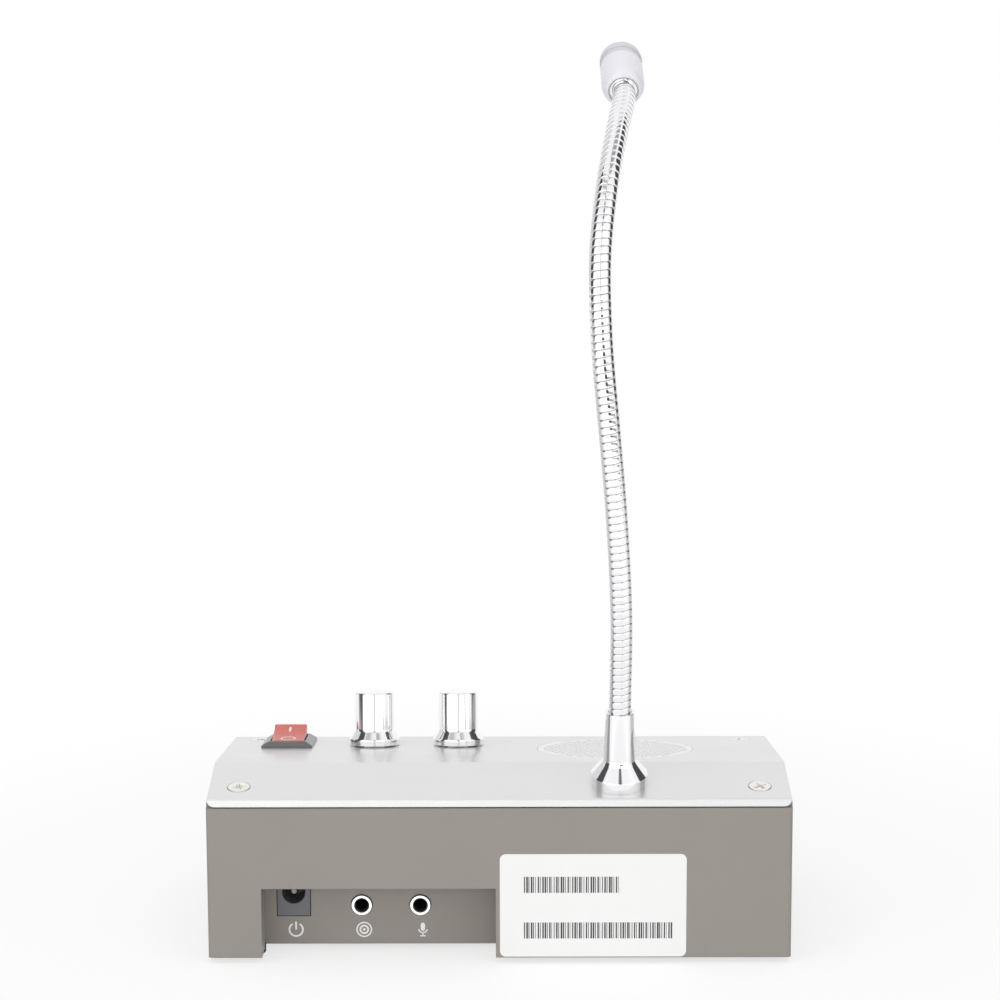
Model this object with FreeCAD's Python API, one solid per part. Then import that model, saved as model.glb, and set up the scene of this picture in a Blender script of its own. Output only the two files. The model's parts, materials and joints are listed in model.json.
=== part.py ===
import FreeCAD, Part
import math
import os
from FreeCAD import Placement, Rotation, Vector

# Teller window intercom: a desk-top talk and listen unit with a bent metal cover,
# a rear socket recess, an on/off rocker, two volume knobs, a loudspeaker under a
# perforated grille and a microphone on a flexible neck.
# Millimetres. +X is to the right seen from the glass side, +Y points to the teller,
# +Z is up. The origin is the centre of the underside, on the desk.
# A "setback" is a distance from the rear face of the case towards the teller, and a
# "height" is measured from the underside of the moulded case unless it says otherwise.

# ---- case and cover ----
CASE_W = 158.0
CASE_D = 82.0
FOOT_H = 1.6
WALL = 2.5
FLOOR = 2.5
CORNER_R = 1.2
COVER_T = 1.5
COVER_LIP = 2.2
COVER_INSET = 0.35
SEAM = 0.3
REAR_EDGE_H = 44.2
RIDGE_SETBACK = 22.8
REAR_SLOPE = 11.0
FRONT_EDGE_H = 41.1
RIDGE_BEND_R = 3.0
EDGE_BEND_R = 0.6
LIP_CORNER_R = 2.0

# ---- cover screws, M3 countersunk ----
SCREW_R = 1.5
SCREW_HEAD_R = 3.0
SCREW_LENGTH = 9.0
SCREW_FROM_SIDE = 8.3
REAR_SCREW_SETBACK = 8.0
FRONT_SCREW_FROM_FRONT = 7.7
BOSS_R = 2.8
CROSS_LENGTH = 3.4
CROSS_WIDTH = 0.7
CROSS_DEPTH = 1.0

# ---- feet ----
FOOT_R = 4.8
FOOT_SEAT = 0.8
FOOT_FROM_SIDE = 10.0
FOOT_SETBACK = 10.0

# ---- rear recess for the sockets ----
LEG_W = 14.6
RECESS_W = 63.4
RECESS_H = 19.3
RECESS_DEPTH = 12.1

# ---- circuit board ----
BOARD_TOP = 8.05
BOARD_T = 1.6
BOARD_W = 80.0
BOARD_D = 48.0
BOARD_GAP = 0.6
BOARD_OVERHANG = 7.6
POST_R = 2.8
POST_INSET = 4.0
BOARD_SCREW_R = 1.25
BOARD_SCREW_HEAD_R = 2.3
BOARD_SCREW_HEAD_H = 1.5
BOARD_SCREW_LENGTH = 5.0

# ---- power inlet, 5.5 x 2.1 barrel type ----
INLET_W = 9.0
INLET_H = 11.0
INLET_D = 14.2
INLET_X = 7.8
INLET_HOLE_R = 3.2
INLET_HOLE_H = 6.6
INLET_HOLE_D = 9.5
INLET_PIN_R = 1.0
INLET_PIN_SHORT = 1.0
INLET_CLEAR = 0.2

# ---- 3.5 mm jacks ----
SPEAKER_JACK_X = 26.5
JACK_PITCH = 16.1
JACK_W = 8.0
JACK_H = 6.0
JACK_D = 12.0
JACK_AXIS_H = 3.0
JACK_BORE_R = 1.8
JACK_SNOUT_R = 2.1
JACK_RING_R = 2.85
JACK_PROUD = 0.5
JACK_SINK = 0.3
JACK_CLEAR = 0.15

# ---- rocker switch ----
SWITCH_FROM_SIDE = 17.6
SWITCH_FROM_FRONT = 17.9
BEZEL_W = 14.6
BEZEL_L = 20.8
BEZEL_EDGE_H = 0.7
BEZEL_H = 1.9
BEZEL_SIDE_RIM = 0.35
BEZEL_END_RIM = 1.0
SWITCH_OPEN_W = 10.0
SWITCH_OPEN_L = 16.8
SWITCH_WALL = 1.2
SWITCH_BODY_H = 14.5
ROCKER_W = 9.4
ROCKER_HALF_L = 7.2
ROCKER_SWING = 13.0
ROCKER_VALLEY = 6.0
ROCKER_PRESSED_H = 1.9
ROCKER_TAPER = 0.7
ROCKER_EDGE = 0.4
PIVOT_DEPTH = 1.0
TRUNNION_R = 1.2
TRUNNION_L = 0.8
STEM_R = 1.9
STEM_L = 5.6
PLUNGER_R = 1.0
PLUNGER_REACH = 8.0
SPRING_WIRE_R = 0.15
SPRING_TOP = 1.6
SPRING_L = 2.6
SPRING_TURNS = 6
BLADE_W = 4.0
BLADE_L = 12.0
BLADE_T = 0.5
BLADE_TILT = 7.0
BLADE_AIR = 0.15
FULCRUM_R = 0.4
TAG_W = 4.8
TAG_T = 0.8
TAG_TIP = 23.0
TAG_SPACING = 5.0
TAG_YS = (0.0, -TAG_SPACING)

# ---- volume controls ----
KNOB_FROM_SWITCH = 25.0
KNOB_PITCH = 24.3
KNOB_FROM_FRONT = 20.9
KNOB_BASE_R = 7.3
KNOB_TOP_R = 5.7
KNOB_FLANGE_TOP = 2.1
KNOB_CONE_TOP = 4.6
KNOB_H = 15.6
KNOB_GAP = 0.4
KNOB_EDGE = 0.4
INSERT_R = 4.2
SHAFT_R = 3.0
SHAFT_CLEAR = 0.05
SHAFT_FLAT = 1.5
SHAFT_TOP = 13.2
BUSH_R = 3.5
BUSH_TOP = 3.8
POT_R = 8.0
POT_DEPTH = 8.0
POT_WALL = 0.8
WIPER_R = 6.4
WIPER_T = 0.8
WIPER_AIR = 0.3
POT_NUT_AF = 9.6
POT_NUT_H = 2.2
LUG_W = 1.4
LUG_T = 0.5
LUG_L = 5.0
LUG_PITCH = 4.0

# ---- grille and loudspeaker ----
GRILLE_FROM_SIDE = 46.0
GRILLE_FROM_RIDGE = 7.1
GRILLE_R = 22.3
GRILLE_T = 1.0
GRILLE_GAP = 0.1
GRILLE_FLANGE = 0.9
HOLE_PITCH = 2.0
HOLE_R = 0.55
GASKET_T = 1.0
SPEAKER_R = 22.0
FRAME_T = 0.8
RIM_W = 3.2
BASKET_H = 8.0
BASKET_R = 13.5
WINDOW_W = 9.0
WINDOW_H = 4.0
CONE_T = 0.4
CONE_R = 16.0
CONE_DEPTH = 5.2
COIL_R = 6.2
COIL_T = 0.35
COIL_AIR = 0.4
MAGNET_R = 11.2
MAGNET_H = 5.0
YOKE_R = 10.8
YOKE_T = 1.6
BASKET_FLOOR = 1.6
CLAMP_BAND = 2.5
CLAMP_EAR_R = 3.0
CLAMP_T = 1.0
CLAMP_SCREW_RADIUS = 27.5
CLAMP_SCREW_R = 1.5
CLAMP_HEAD_R = 2.7
CLAMP_HEAD_H = 1.6
CLAMP_BOSS_R = 2.8
CAP_RISE = 1.8

# ---- neck collar ----
COLLAR_FROM_SIDE = 46.4
COLLAR_SETBACK = 10.3
COLLAR_FLANGE_R = 7.75
COLLAR_FLANGE_H = 2.95
COLLAR_CONE_H = 4.0
COLLAR_FOOT_R = 4.45
COLLAR_TOP_R = 3.9
COLLAR_H = 21.3
COLLAR_SOCKET = 14.0
STEM_THREAD_R = 4.0
STEM_THREAD_L = 7.0
STEM_CLEAR = 0.15
NECK_NUT_AF = 12.0
NECK_NUT_H = 3.0

# ---- flexible neck: rigid lengths joined by ball ends ----
NECK_R = 3.1
NECK_BORE_R = 1.4
NECK_FIT = 0.03
BALL_CLEAR = 0.12
NECK_BEND = 18.0
RIM_SPARE = 0.2
FIRST_LINK = 28.05
LINK_STEP = 1.6
# Tilt of each length towards the teller and its lean to +X, in degrees, bottom to
# top; the first length follows the collar.
LINK_TILTS = (-REAR_SLOPE, -7.0, -5.5, -1.5, 5.0, 22.0, 44.0, 58.0)
LINK_LEANS = (0.0, -3.0, -5.0, -5.0, -1.0, 6.0, 9.0, 8.0)

# ---- microphone; its axis leaves the last length of the neck at a knee ----
MIC_TILT = 60.0
MIC_LEAN = -1.0
MIC_STUB = 2.5
MIC_R = 5.8
MIC_WALL = 0.9
MIC_L = 18.5
MIC_JOINT = 11.8
MIC_END_R = 3.0
MIC_ENTRY = 3.0
MIC_BAND_L = 2.4
MIC_BAND_DEPTH = 0.35
FERRULE_R = 3.65
FERRULE_L = 2.0
FERRULE_GAP = 0.3
FERRULE_GAP_L = 0.8
SPIGOT_L = 2.0
CAPSULE_L = 4.5
MIC_HOLE_R = 0.45
MIC_HOLE_PITCH = 1.7

# ---- parts on the board, placed from its left rear corner ----
SINK_X = 20.0
SINK_Y = 13.4
SINK_W = 18.0
SINK_D = 8.0
SINK_H = 18.0
SINK_WEB = 2.0
SINK_FIN = 1.2
SINK_SLOT = 2.0
CHIP_W = 10.0
CHIP_H = 13.0
CHIP_T = 3.0
CHIP_TAB_T = 1.3
CHIP_LIFT = 3.0
CHIP_LEG = 0.7
CHIP_LEG_PITCH = 1.7
FIRST_CAN = (25.4, 5.4)
TALL_CAN_Y = 6.4
LAST_CAN_Y = 17.4
LAST_CAN_FROM_EDGE = 17.0
# Radius and height of the two kinds of can.
SMALL_CAN = (4.0, 12.0)
TALL_CAN = (5.0, 16.0)
CAN_PINCH = 0.3
DIP_FROM_SINK = 2.5
DIP_YS = (18.0, 34.0)
DIP_L = 9.8
DIP_W = 6.4
DIP_H = 3.3
DIP_LIFT = 0.5
DIP_PITCH = 2.54
DIP_LEG = 0.5
HEADER_W = 7.5
HEADER_D = 5.8
HEADER_H = 7.0
HEADER_PITCH = 2.5
HEADER_FROM_EDGE = 6.0
SWITCH_HEADER_Y = 26.0
SPEAKER_HEADER_Y = 36.5
MIC_HEADER_Y = 17.4

# ---- label plate and leads ----
LABEL_X = 0.1
LABEL_W = 50.4
LABEL_H = 28.7
LABEL_T = 0.12
LABEL_R = 1.6
LABEL_LIFT = 0.3
LEAD_R = 0.5
LEAD_SHARE = 0.45
MIC_LEAD_R = 1.1
MIC_LEAD_DROP = 14.0
MIC_LEAD_RUN = 10.0
MIC_LEAD_SIDE = 3.0

X_AXIS = Vector(1, 0, 0)
Z_AXIS = Vector(0, 0, 1)
ORIGIN = Vector(0, 0, 0)

# ---- places worked out from the sizes ----
HALF_W = CASE_W / 2
LEFT = -HALF_W
RIDGE_H = REAR_EDGE_H + (RIDGE_SETBACK - COVER_INSET) * math.tan(math.radians(REAR_SLOPE))
PANEL_SLOPE = math.degrees(math.atan2(RIDGE_H - FRONT_EDGE_H, CASE_D - COVER_INSET - RIDGE_SETBACK))
RECESS_LEFT = LEFT + LEG_W
RECESS_RIGHT = RECESS_LEFT + RECESS_W
WALL_BACK = RECESS_DEPTH + WALL
BOARD_LEFT = RECESS_LEFT - BOARD_OVERHANG
BOARD_SETBACK = WALL_BACK + BOARD_GAP
INLET_CENTRE = RECESS_LEFT + INLET_X
JACK_XS = (RECESS_LEFT + SPEAKER_JACK_X, RECESS_LEFT + SPEAKER_JACK_X + JACK_PITCH)
SWITCH_X = LEFT + SWITCH_FROM_SIDE
SWITCH_SETBACK = CASE_D - SWITCH_FROM_FRONT
KNOB_XS = (SWITCH_X + KNOB_FROM_SWITCH, SWITCH_X + KNOB_FROM_SWITCH + KNOB_PITCH)
KNOB_SETBACK = CASE_D - KNOB_FROM_FRONT
GRILLE_X = HALF_W - GRILLE_FROM_SIDE
COLLAR_X = HALF_W - COLLAR_FROM_SIDE
GRILLE_SETBACK = RIDGE_SETBACK + GRILLE_FROM_RIDGE + GRILLE_R
BODY_W = SWITCH_OPEN_W + 2 * SWITCH_WALL
BODY_L = SWITCH_OPEN_L + 2 * SWITCH_WALL


def outline_height(setback):
    """Height of the cover's outer face at a setback."""
    if setback <= RIDGE_SETBACK:
        share = (setback - COVER_INSET) / (RIDGE_SETBACK - COVER_INSET)
        return REAR_EDGE_H + share * (RIDGE_H - REAR_EDGE_H)
    share = (setback - RIDGE_SETBACK) / (CASE_D - COVER_INSET - RIDGE_SETBACK)
    return RIDGE_H + share * (FRONT_EDGE_H - RIDGE_H)


def case_point(x, setback, height):
    """A point given by X, setback and height above the case's underside."""
    return Vector(x, setback - CASE_D / 2, FOOT_H + height)


def on_slope(x, setback):
    """Frame on the rear slope: local Z is the outward normal, Z = 0 the outer face."""
    point = case_point(x, setback, outline_height(setback))
    return Placement(point, Rotation(X_AXIS, REAR_SLOPE))


def on_panel(x, setback):
    """Frame on the control panel: local Z is the outward normal."""
    point = case_point(x, setback, outline_height(setback))
    return Placement(point, Rotation(X_AXIS, -PANEL_SLOPE))


def placed(shape, place):
    """A copy of a shape moved from its local frame to a place."""
    moved = shape.copy()
    moved.Placement = place.multiply(shape.Placement)
    return moved


def box(x0, x1, y0, y1, z0, z1):
    """A box between two corners."""
    return Part.makeBox(x1 - x0, y1 - y0, z1 - z0, Vector(x0, y0, z0))


def case_box(x0, x1, setback0, setback1, height0, height1):
    """A box given in setbacks and heights."""
    low = case_point(x0, setback0, height0)
    high = case_point(x1, setback1, height1)
    return box(low.x, high.x, low.y, high.y, low.z, high.z)


def rod(radius, z0, z1, x=0.0, y=0.0):
    """An upright cylinder between two levels."""
    return Part.makeCylinder(radius, z1 - z0, Vector(x, y, z0))


def tube(outer, inner, z0, z1):
    """An upright tube on the local Z axis."""
    return rod(outer, z0, z1).cut(rod(inner, z0, z1))


def turned(points):
    """A solid turned about local Z from (radius, z) corners of its half section."""
    corners = [Vector(r, 0, z) for r, z in points]
    section = Part.Face(Part.makePolygon(corners + [corners[0]]))
    return section.revolve(ORIGIN, Z_AXIS, 360)


def hexagon(across_flats, z0, z1, bore_r):
    """A hexagonal nut on the local Z axis."""
    reach = across_flats / 2 / math.cos(math.pi / 6)
    corners = [Vector(reach * math.cos(k * math.pi / 3), reach * math.sin(k * math.pi / 3), z0)
               for k in range(7)]
    return Part.Face(Part.makePolygon(corners)).extrude(Vector(0, 0, z1 - z0)).cut(rod(bore_r, z0, z1))


def offset_line(points, distance):
    """A chain of (y, z) points moved sideways, to its right as it runs towards +y."""
    def moved(a, b):
        length = math.hypot(b[0] - a[0], b[1] - a[1])
        ny, nz = (b[1] - a[1]) / length, -(b[0] - a[0]) / length
        return ((a[0] + ny * distance, a[1] + nz * distance), (b[0] + ny * distance, b[1] + nz * distance))

    def meet(first, second):
        (ay, az), (by, bz) = first
        (cy, cz), (dy, dz) = second
        det = (by - ay) * (dz - cz) - (bz - az) * (dy - cy)
        share = ((cy - ay) * (dz - cz) - (cz - az) * (dy - cy)) / det
        return (ay + share * (by - ay), az + share * (bz - az))

    sides = [moved(a, b) for a, b in zip(points, points[1:])]
    joints = [meet(a, b) for a, b in zip(sides, sides[1:])]
    return [sides[0][0]] + joints + [sides[-1][1]]


def prism(points, x0, x1):
    """A solid drawn along X from a closed chain of (setback, height) points."""
    corners = [case_point(x0, s, h) for s, h in points]
    return Part.Face(Part.makePolygon(corners + [corners[0]])).extrude(Vector(x1 - x0, 0, 0))


def edges_along(shape, direction, test):
    """Straight edges along a direction whose middle point passes a test."""
    found = []
    for edge in shape.Edges:
        if len(edge.Vertexes) == 2 and edge.Curve.TypeId == "Part::GeomLine":
            run = edge.Vertexes[1].Point.sub(edge.Vertexes[0].Point).normalize()
            if abs(run.dot(direction)) > 0.999 and test(edge.CenterOfMass):
                found.append(edge)
    return found


def near(height, setback, reach=0.05):
    """A test for points at a setback and height."""
    target = case_point(0, setback, height)
    return lambda p: math.hypot(p.y - target.y, p.z - target.z) < reach


def outer_line():
    """The cover's outer face from its rear lip over the ridge to its front lip."""
    front = CASE_D - COVER_INSET
    return [(COVER_INSET, REAR_EDGE_H - COVER_LIP), (COVER_INSET, REAR_EDGE_H), (RIDGE_SETBACK, RIDGE_H),
            (front, FRONT_EDGE_H), (front, FRONT_EDGE_H - COVER_LIP)]


def screw_places():
    """Frames of the four cover screws, on the slope and near the front edge."""
    places = []
    for x in (LEFT + SCREW_FROM_SIDE, HALF_W - SCREW_FROM_SIDE):
        places.append(on_slope(x, REAR_SCREW_SETBACK))
        places.append(on_panel(x, CASE_D - FRONT_SCREW_FROM_FRONT))
    return places


def foot_points():
    """Centres of the four feet on the desk."""
    xs = (LEFT + FOOT_FROM_SIDE, HALF_W - FOOT_FROM_SIDE)
    setbacks = (FOOT_SETBACK, CASE_D - FOOT_SETBACK)
    return [case_point(x, s, -FOOT_H) for x in xs for s in setbacks]


def post_points():
    """Setback and X of the four board posts."""
    xs = (BOARD_LEFT + POST_INSET, BOARD_LEFT + BOARD_W - POST_INSET)
    setbacks = (BOARD_SETBACK + POST_INSET, BOARD_SETBACK + BOARD_D - POST_INSET)
    return [(x, s) for x in xs for s in setbacks]


def ear_points():
    """The four clamp screws around the loudspeaker, in its own frame."""
    reach = CLAMP_SCREW_RADIUS / math.sqrt(2)
    return [(sx * reach, sy * reach) for sx in (-1, 1) for sy in (-1, 1)]


# ---- case ----

def case_outside():
    """The case's outer block, its top just under the cover and its lips."""
    under = offset_line(outer_line(), COVER_T + SEAM)
    rear_top = REAR_EDGE_H - COVER_LIP - SEAM
    front_top = FRONT_EDGE_H - COVER_LIP - SEAM
    profile = [(0, 0), (0, rear_top), (under[0][0], rear_top), under[1], under[2], under[3],
               (under[4][0], front_top), (CASE_D, front_top), (CASE_D, 0)]
    block = prism(profile, LEFT, HALF_W)

    def corner(p):
        return abs(abs(p.x) - HALF_W) < 0.01 and abs(abs(p.y) - CASE_D / 2) < 0.01

    return block.makeFillet(CORNER_R, edges_along(block, Z_AXIS, corner))


def recess_block(extra):
    """The rear recess, grown by a wall where extra is the wall's thickness."""
    return case_box(RECESS_LEFT - extra, RECESS_RIGHT + extra, -1, RECESS_DEPTH + extra, -1, RECESS_H + extra)


def base_housing():
    """Moulded tub: walls, floor, socket recess, screw bosses, board posts and foot seats."""
    tub = case_outside()
    hollow = case_box(LEFT + WALL, HALF_W - WALL, WALL, CASE_D - WALL, FLOOR, RIDGE_H + COVER_LIP)
    hollow = hollow.cut(recess_block(WALL))
    tub = tub.cut(hollow).cut(recess_block(0))
    under = offset_line(outer_line(), COVER_T)[1:4]
    above = prism(under + [(under[2][0], RIDGE_H * 2), (under[0][0], RIDGE_H * 2)], LEFT, HALF_W)
    for place in screw_places():
        foot = place.Base
        boss = rod(BOSS_R, FOOT_H + FLOOR / 2, foot.z + BOSS_R, foot.x, foot.y).cut(above)
        hole = placed(rod(SCREW_R, -SCREW_LENGTH - SEAM, 0), place)
        tub = tub.fuse(boss).cut(hole)
    for x, setback in post_points():
        low = case_point(x, setback, FLOOR / 2)
        high = case_point(x, setback, BOARD_TOP - BOARD_T)
        post = rod(POST_R, low.z, high.z, x, low.y)
        tub = tub.fuse(post).cut(rod(BOARD_SCREW_R, high.z + BOARD_T - BOARD_SCREW_LENGTH, high.z, x, low.y))
    for point in foot_points():
        tub = tub.cut(rod(FOOT_R + JACK_CLEAR, -1, FOOT_H + FOOT_SEAT, point.x, point.y))
    return tub.cut(socket_holes()).removeSplitter()


def socket_holes():
    """The openings in the recess wall for the power inlet and the two jacks."""
    half = INLET_W / 2 + INLET_CLEAR
    window = case_box(INLET_CENTRE - half, INLET_CENTRE + half, RECESS_DEPTH - 1, WALL_BACK + 1,
                      BOARD_TOP - INLET_CLEAR, BOARD_TOP + INLET_H + INLET_CLEAR)
    holes = [Part.makeCylinder(JACK_RING_R + JACK_CLEAR, WALL + 2,
                               case_point(x, RECESS_DEPTH - 1, BOARD_TOP + JACK_AXIS_H), Vector(0, 1, 0))
             for x in JACK_XS]
    return window.multiFuse(holes)


def rubber_feet():
    """Four round feet seated in the underside."""
    feet = []
    for p in foot_points():
        foot = rod(FOOT_R, 0, FOOT_H + FOOT_SEAT, p.x, p.y)
        rim = [e for e in foot.Edges if e.CenterOfMass.z < 0.01 and e.Curve.TypeId == "Part::GeomCircle"]
        feet.append(foot.makeChamfer(SEAM, rim))
    return Part.makeCompound(feet)


# ---- cover ----

def bent_sheet():
    """The cover sheet bent at the ridge and turned down at both long edges."""
    outer = outer_line()
    inner = offset_line(outer, COVER_T)
    sheet = prism(outer + inner[::-1], LEFT + COVER_INSET, HALF_W - COVER_INSET)
    ridge = edges_along(sheet, X_AXIS, near(RIDGE_H, RIDGE_SETBACK))
    sheet = sheet.makeFillet(RIDGE_BEND_R, ridge)
    fold = edges_along(sheet, X_AXIS, near(inner[2][1], inner[2][0]))
    sheet = sheet.makeFillet(RIDGE_BEND_R - COVER_T, fold)
    edges = edges_along(sheet, X_AXIS, near(outer[1][1], outer[1][0]))
    edges += edges_along(sheet, X_AXIS, near(outer[3][1], outer[3][0]))
    sheet = sheet.makeFillet(EDGE_BEND_R, edges)

    def lip_corner(p):
        at_end = abs(abs(p.x) - HALF_W + COVER_INSET) < 0.01
        low = min(abs(p.z - FOOT_H - outer[0][1]), abs(p.z - FOOT_H - outer[4][1])) < 0.01
        return at_end and low

    return sheet.makeFillet(LIP_CORNER_R, edges_along(sheet, Vector(0, 1, 0), lip_corner))


def top_cover():
    """Bent cover with its screw, switch, shaft, neck and grille holes."""
    cutters = []
    sink = turned([(0, -COVER_T - 1), (SCREW_R + SEAM, -COVER_T - 1), (SCREW_R + SEAM, -COVER_T),
                   (SCREW_HEAD_R + SEAM, 0), (SCREW_HEAD_R + SEAM, 1), (0, 1)])
    cutters += [placed(sink, place) for place in screw_places()]
    gap = INLET_CLEAR / 2
    slot = box(-BODY_W / 2 - gap, BODY_W / 2 + gap, -BODY_L / 2 - gap, BODY_L / 2 + gap, -COVER_T - 1, 1)
    cutters.append(placed(slot, on_panel(SWITCH_X, SWITCH_SETBACK)))
    for x in KNOB_XS:
        cutters.append(placed(rod(BUSH_R + gap, -COVER_T - 1, 1), on_panel(x, KNOB_SETBACK)))
    stem = rod(STEM_THREAD_R + STEM_CLEAR, -COVER_T - 1, 1)
    cutters.append(placed(stem, on_slope(COLLAR_X, COLLAR_SETBACK)))
    cutters.append(placed(rod(GRILLE_R, -COVER_T - 1, 1), on_panel(GRILLE_X, GRILLE_SETBACK)))
    bosses = [on_speaker(rod(CLAMP_BOSS_R, CLAMP_TOP, -COVER_T, x, y)) for x, y in ear_points()]
    cutters += [on_speaker(rod(CLAMP_SCREW_R, CLAMP_TOP, -COVER_T, x, y)) for x, y in ear_points()]
    return bent_sheet().multiFuse(bosses).cut(cutters)


def cover_screws():
    """Four countersunk cross-head screws."""
    screw = turned([(0, -SCREW_LENGTH), (SCREW_R, -SCREW_LENGTH), (SCREW_R, -COVER_T),
                    (SCREW_HEAD_R, 0), (0, 0)])
    for turn in (0, 90):
        arm = box(-CROSS_LENGTH / 2, CROSS_LENGTH / 2, -CROSS_WIDTH / 2, CROSS_WIDTH / 2, -CROSS_DEPTH, 1)
        arm.rotate(ORIGIN, Z_AXIS, turn)
        screw = screw.cut(arm)
    return Part.makeCompound([placed(screw, place) for place in screw_places()])


def rear_label():
    """A thin bare label on the rear face, with rounded corners."""
    top = LABEL_LIFT + LABEL_H
    plate = case_box(LABEL_X, LABEL_X + LABEL_W, -LABEL_T, 0, LABEL_LIFT, top)
    return plate.makeFillet(LABEL_R, edges_along(plate, Vector(0, 1, 0), lambda p: True))


# ---- board ----

def main_board():
    """The circuit board on its four posts."""
    board = case_box(BOARD_LEFT, BOARD_LEFT + BOARD_W, BOARD_SETBACK, BOARD_SETBACK + BOARD_D,
                     BOARD_TOP - BOARD_T, BOARD_TOP)
    for x, setback in post_points():
        p = case_point(x, setback, BOARD_TOP)
        board = board.cut(rod(BOARD_SCREW_R + JACK_CLEAR, p.z - 2 * BOARD_T, p.z + 1, p.x, p.y))
    return board


def board_screws():
    """Four pan-head screws through the board."""
    screws = []
    for x, setback in post_points():
        p = case_point(x, setback, BOARD_TOP)
        head = rod(BOARD_SCREW_HEAD_R, p.z, p.z + BOARD_SCREW_HEAD_H, p.x, p.y)
        screws.append(head.fuse(rod(BOARD_SCREW_R, p.z - BOARD_SCREW_LENGTH, p.z, p.x, p.y)).removeSplitter())
    return Part.makeCompound(screws)


def inlet_axis():
    """The mouth's centre of the power inlet."""
    return case_point(INLET_CENTRE, RECESS_DEPTH, BOARD_TOP + INLET_HOLE_H)


def dc_inlet_body():
    """Moulded block of the power inlet with its round plug hole."""
    half = INLET_W / 2
    body = case_box(INLET_CENTRE - half, INLET_CENTRE + half, RECESS_DEPTH, RECESS_DEPTH + INLET_D,
                    BOARD_TOP, BOARD_TOP + INLET_H)
    hole = Part.makeCylinder(INLET_HOLE_R, INLET_HOLE_D, inlet_axis(), Vector(0, 1, 0))
    return body.cut(hole)


def dc_inlet_pin():
    """The centre pin, standing on the floor of the plug hole."""
    base = inlet_axis() + Vector(0, INLET_HOLE_D, 0)
    pin = Part.makeCylinder(INLET_PIN_R, INLET_HOLE_D - INLET_PIN_SHORT, base, Vector(0, -1, 0))
    tip = [e for e in pin.Edges if e.CenterOfMass.y < base.y - INLET_HOLE_D + INLET_PIN_SHORT + 0.01
           and e.Curve.TypeId == "Part::GeomCircle"]
    return pin.makeFillet(INLET_PIN_R / 2, tip)


def jack_axis(x):
    """Centre of a jack's axis where it meets the inner face of the recess wall."""
    return case_point(x, WALL_BACK, BOARD_TOP + JACK_AXIS_H)


def jack(x):
    """Black jack body with a bored snout reaching through the recess wall."""
    start = jack_axis(x)
    body = case_box(x - JACK_W / 2, x + JACK_W / 2, WALL_BACK, WALL_BACK + JACK_D,
                    BOARD_TOP, BOARD_TOP + JACK_H)
    body = body.cut(case_box(x - JACK_W, x + JACK_W, WALL_BACK - 1, BOARD_SETBACK, 0, BOARD_TOP))
    reach = WALL + JACK_PROUD - JACK_SINK
    snout = Part.makeCylinder(JACK_SNOUT_R, reach, start, Vector(0, -1, 0))
    bore = Part.makeCylinder(JACK_BORE_R, reach + JACK_D - WALL / 2, start - Vector(0, reach, 0),
                             Vector(0, 1, 0))
    return body.fuse(snout).cut(bore).removeSplitter()


def jack_rings():
    """The two bright threaded rings around the snouts."""
    rings = []
    for x in JACK_XS:
        start = jack_axis(x)
        length = WALL + JACK_PROUD
        ring = Part.makeCylinder(JACK_RING_R, length, start, Vector(0, -1, 0))
        mouth = [e for e in ring.Edges if e.CenterOfMass.y < start.y - length + 0.01
                 and e.Curve.TypeId == "Part::GeomCircle"]
        ring = ring.makeChamfer(JACK_CLEAR, mouth)
        rings.append(ring.cut(Part.makeCylinder(JACK_SNOUT_R, length, start, Vector(0, -1, 0))))
    return Part.makeCompound(rings)


def heat_sink():
    """Finned aluminium block standing on the board."""
    sink = board_box(SINK_X, SINK_Y, SINK_W, SINK_D, SINK_H)
    slots = int((SINK_W - SINK_FIN) / (SINK_FIN + SINK_SLOT))
    start = (SINK_W - slots * SINK_SLOT - (slots - 1) * SINK_FIN) / 2
    for k in range(slots):
        x = SINK_X + start + k * (SINK_FIN + SINK_SLOT)
        sink = sink.cut(board_box(x, SINK_Y - 1, SINK_SLOT, SINK_D - SINK_WEB + 1, SINK_H + 1))
    return sink


def amplifier_chip():
    """Power amplifier: a moulded body on a metal tab against the heat sink, with five legs."""
    x = SINK_X + (SINK_W - CHIP_W) / 2
    y = SINK_Y + SINK_D
    chip = board_box(x, y, CHIP_W, CHIP_TAB_T, CHIP_H, CHIP_LIFT)
    chip = chip.fuse(board_box(x, y + CHIP_TAB_T, CHIP_W, CHIP_T, CHIP_H * 0.6, CHIP_LIFT))
    for k in range(5):
        leg_x = x + CHIP_W / 2 + (k - 2) * CHIP_LEG_PITCH - CHIP_LEG / 2
        chip = chip.fuse(board_box(leg_x, y + CHIP_TAB_T + CHIP_LEG, CHIP_LEG, CHIP_LEG, CHIP_LIFT))
    return chip.removeSplitter()


def board_box(x, y, width, depth, height, lift=0.0):
    """A box on the board, from offsets to the board's left rear corner."""
    x0 = BOARD_LEFT + x
    setback = BOARD_SETBACK + y
    return case_box(x0, x0 + width, setback, setback + depth, BOARD_TOP + lift, BOARD_TOP + lift + height)


def can_places():
    """Offsets on the board of the three capacitors, with each one's radius and height.

    The tall one stands midway between the microphone jack and the right rear board screw.
    """
    jack_side = JACK_XS[1] + JACK_W / 2 - BOARD_LEFT
    screw_side = BOARD_W - POST_INSET - BOARD_SCREW_HEAD_R
    return (FIRST_CAN + SMALL_CAN, ((jack_side + screw_side) / 2, TALL_CAN_Y) + TALL_CAN,
            (BOARD_W - LAST_CAN_FROM_EDGE, LAST_CAN_Y) + SMALL_CAN)


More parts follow.
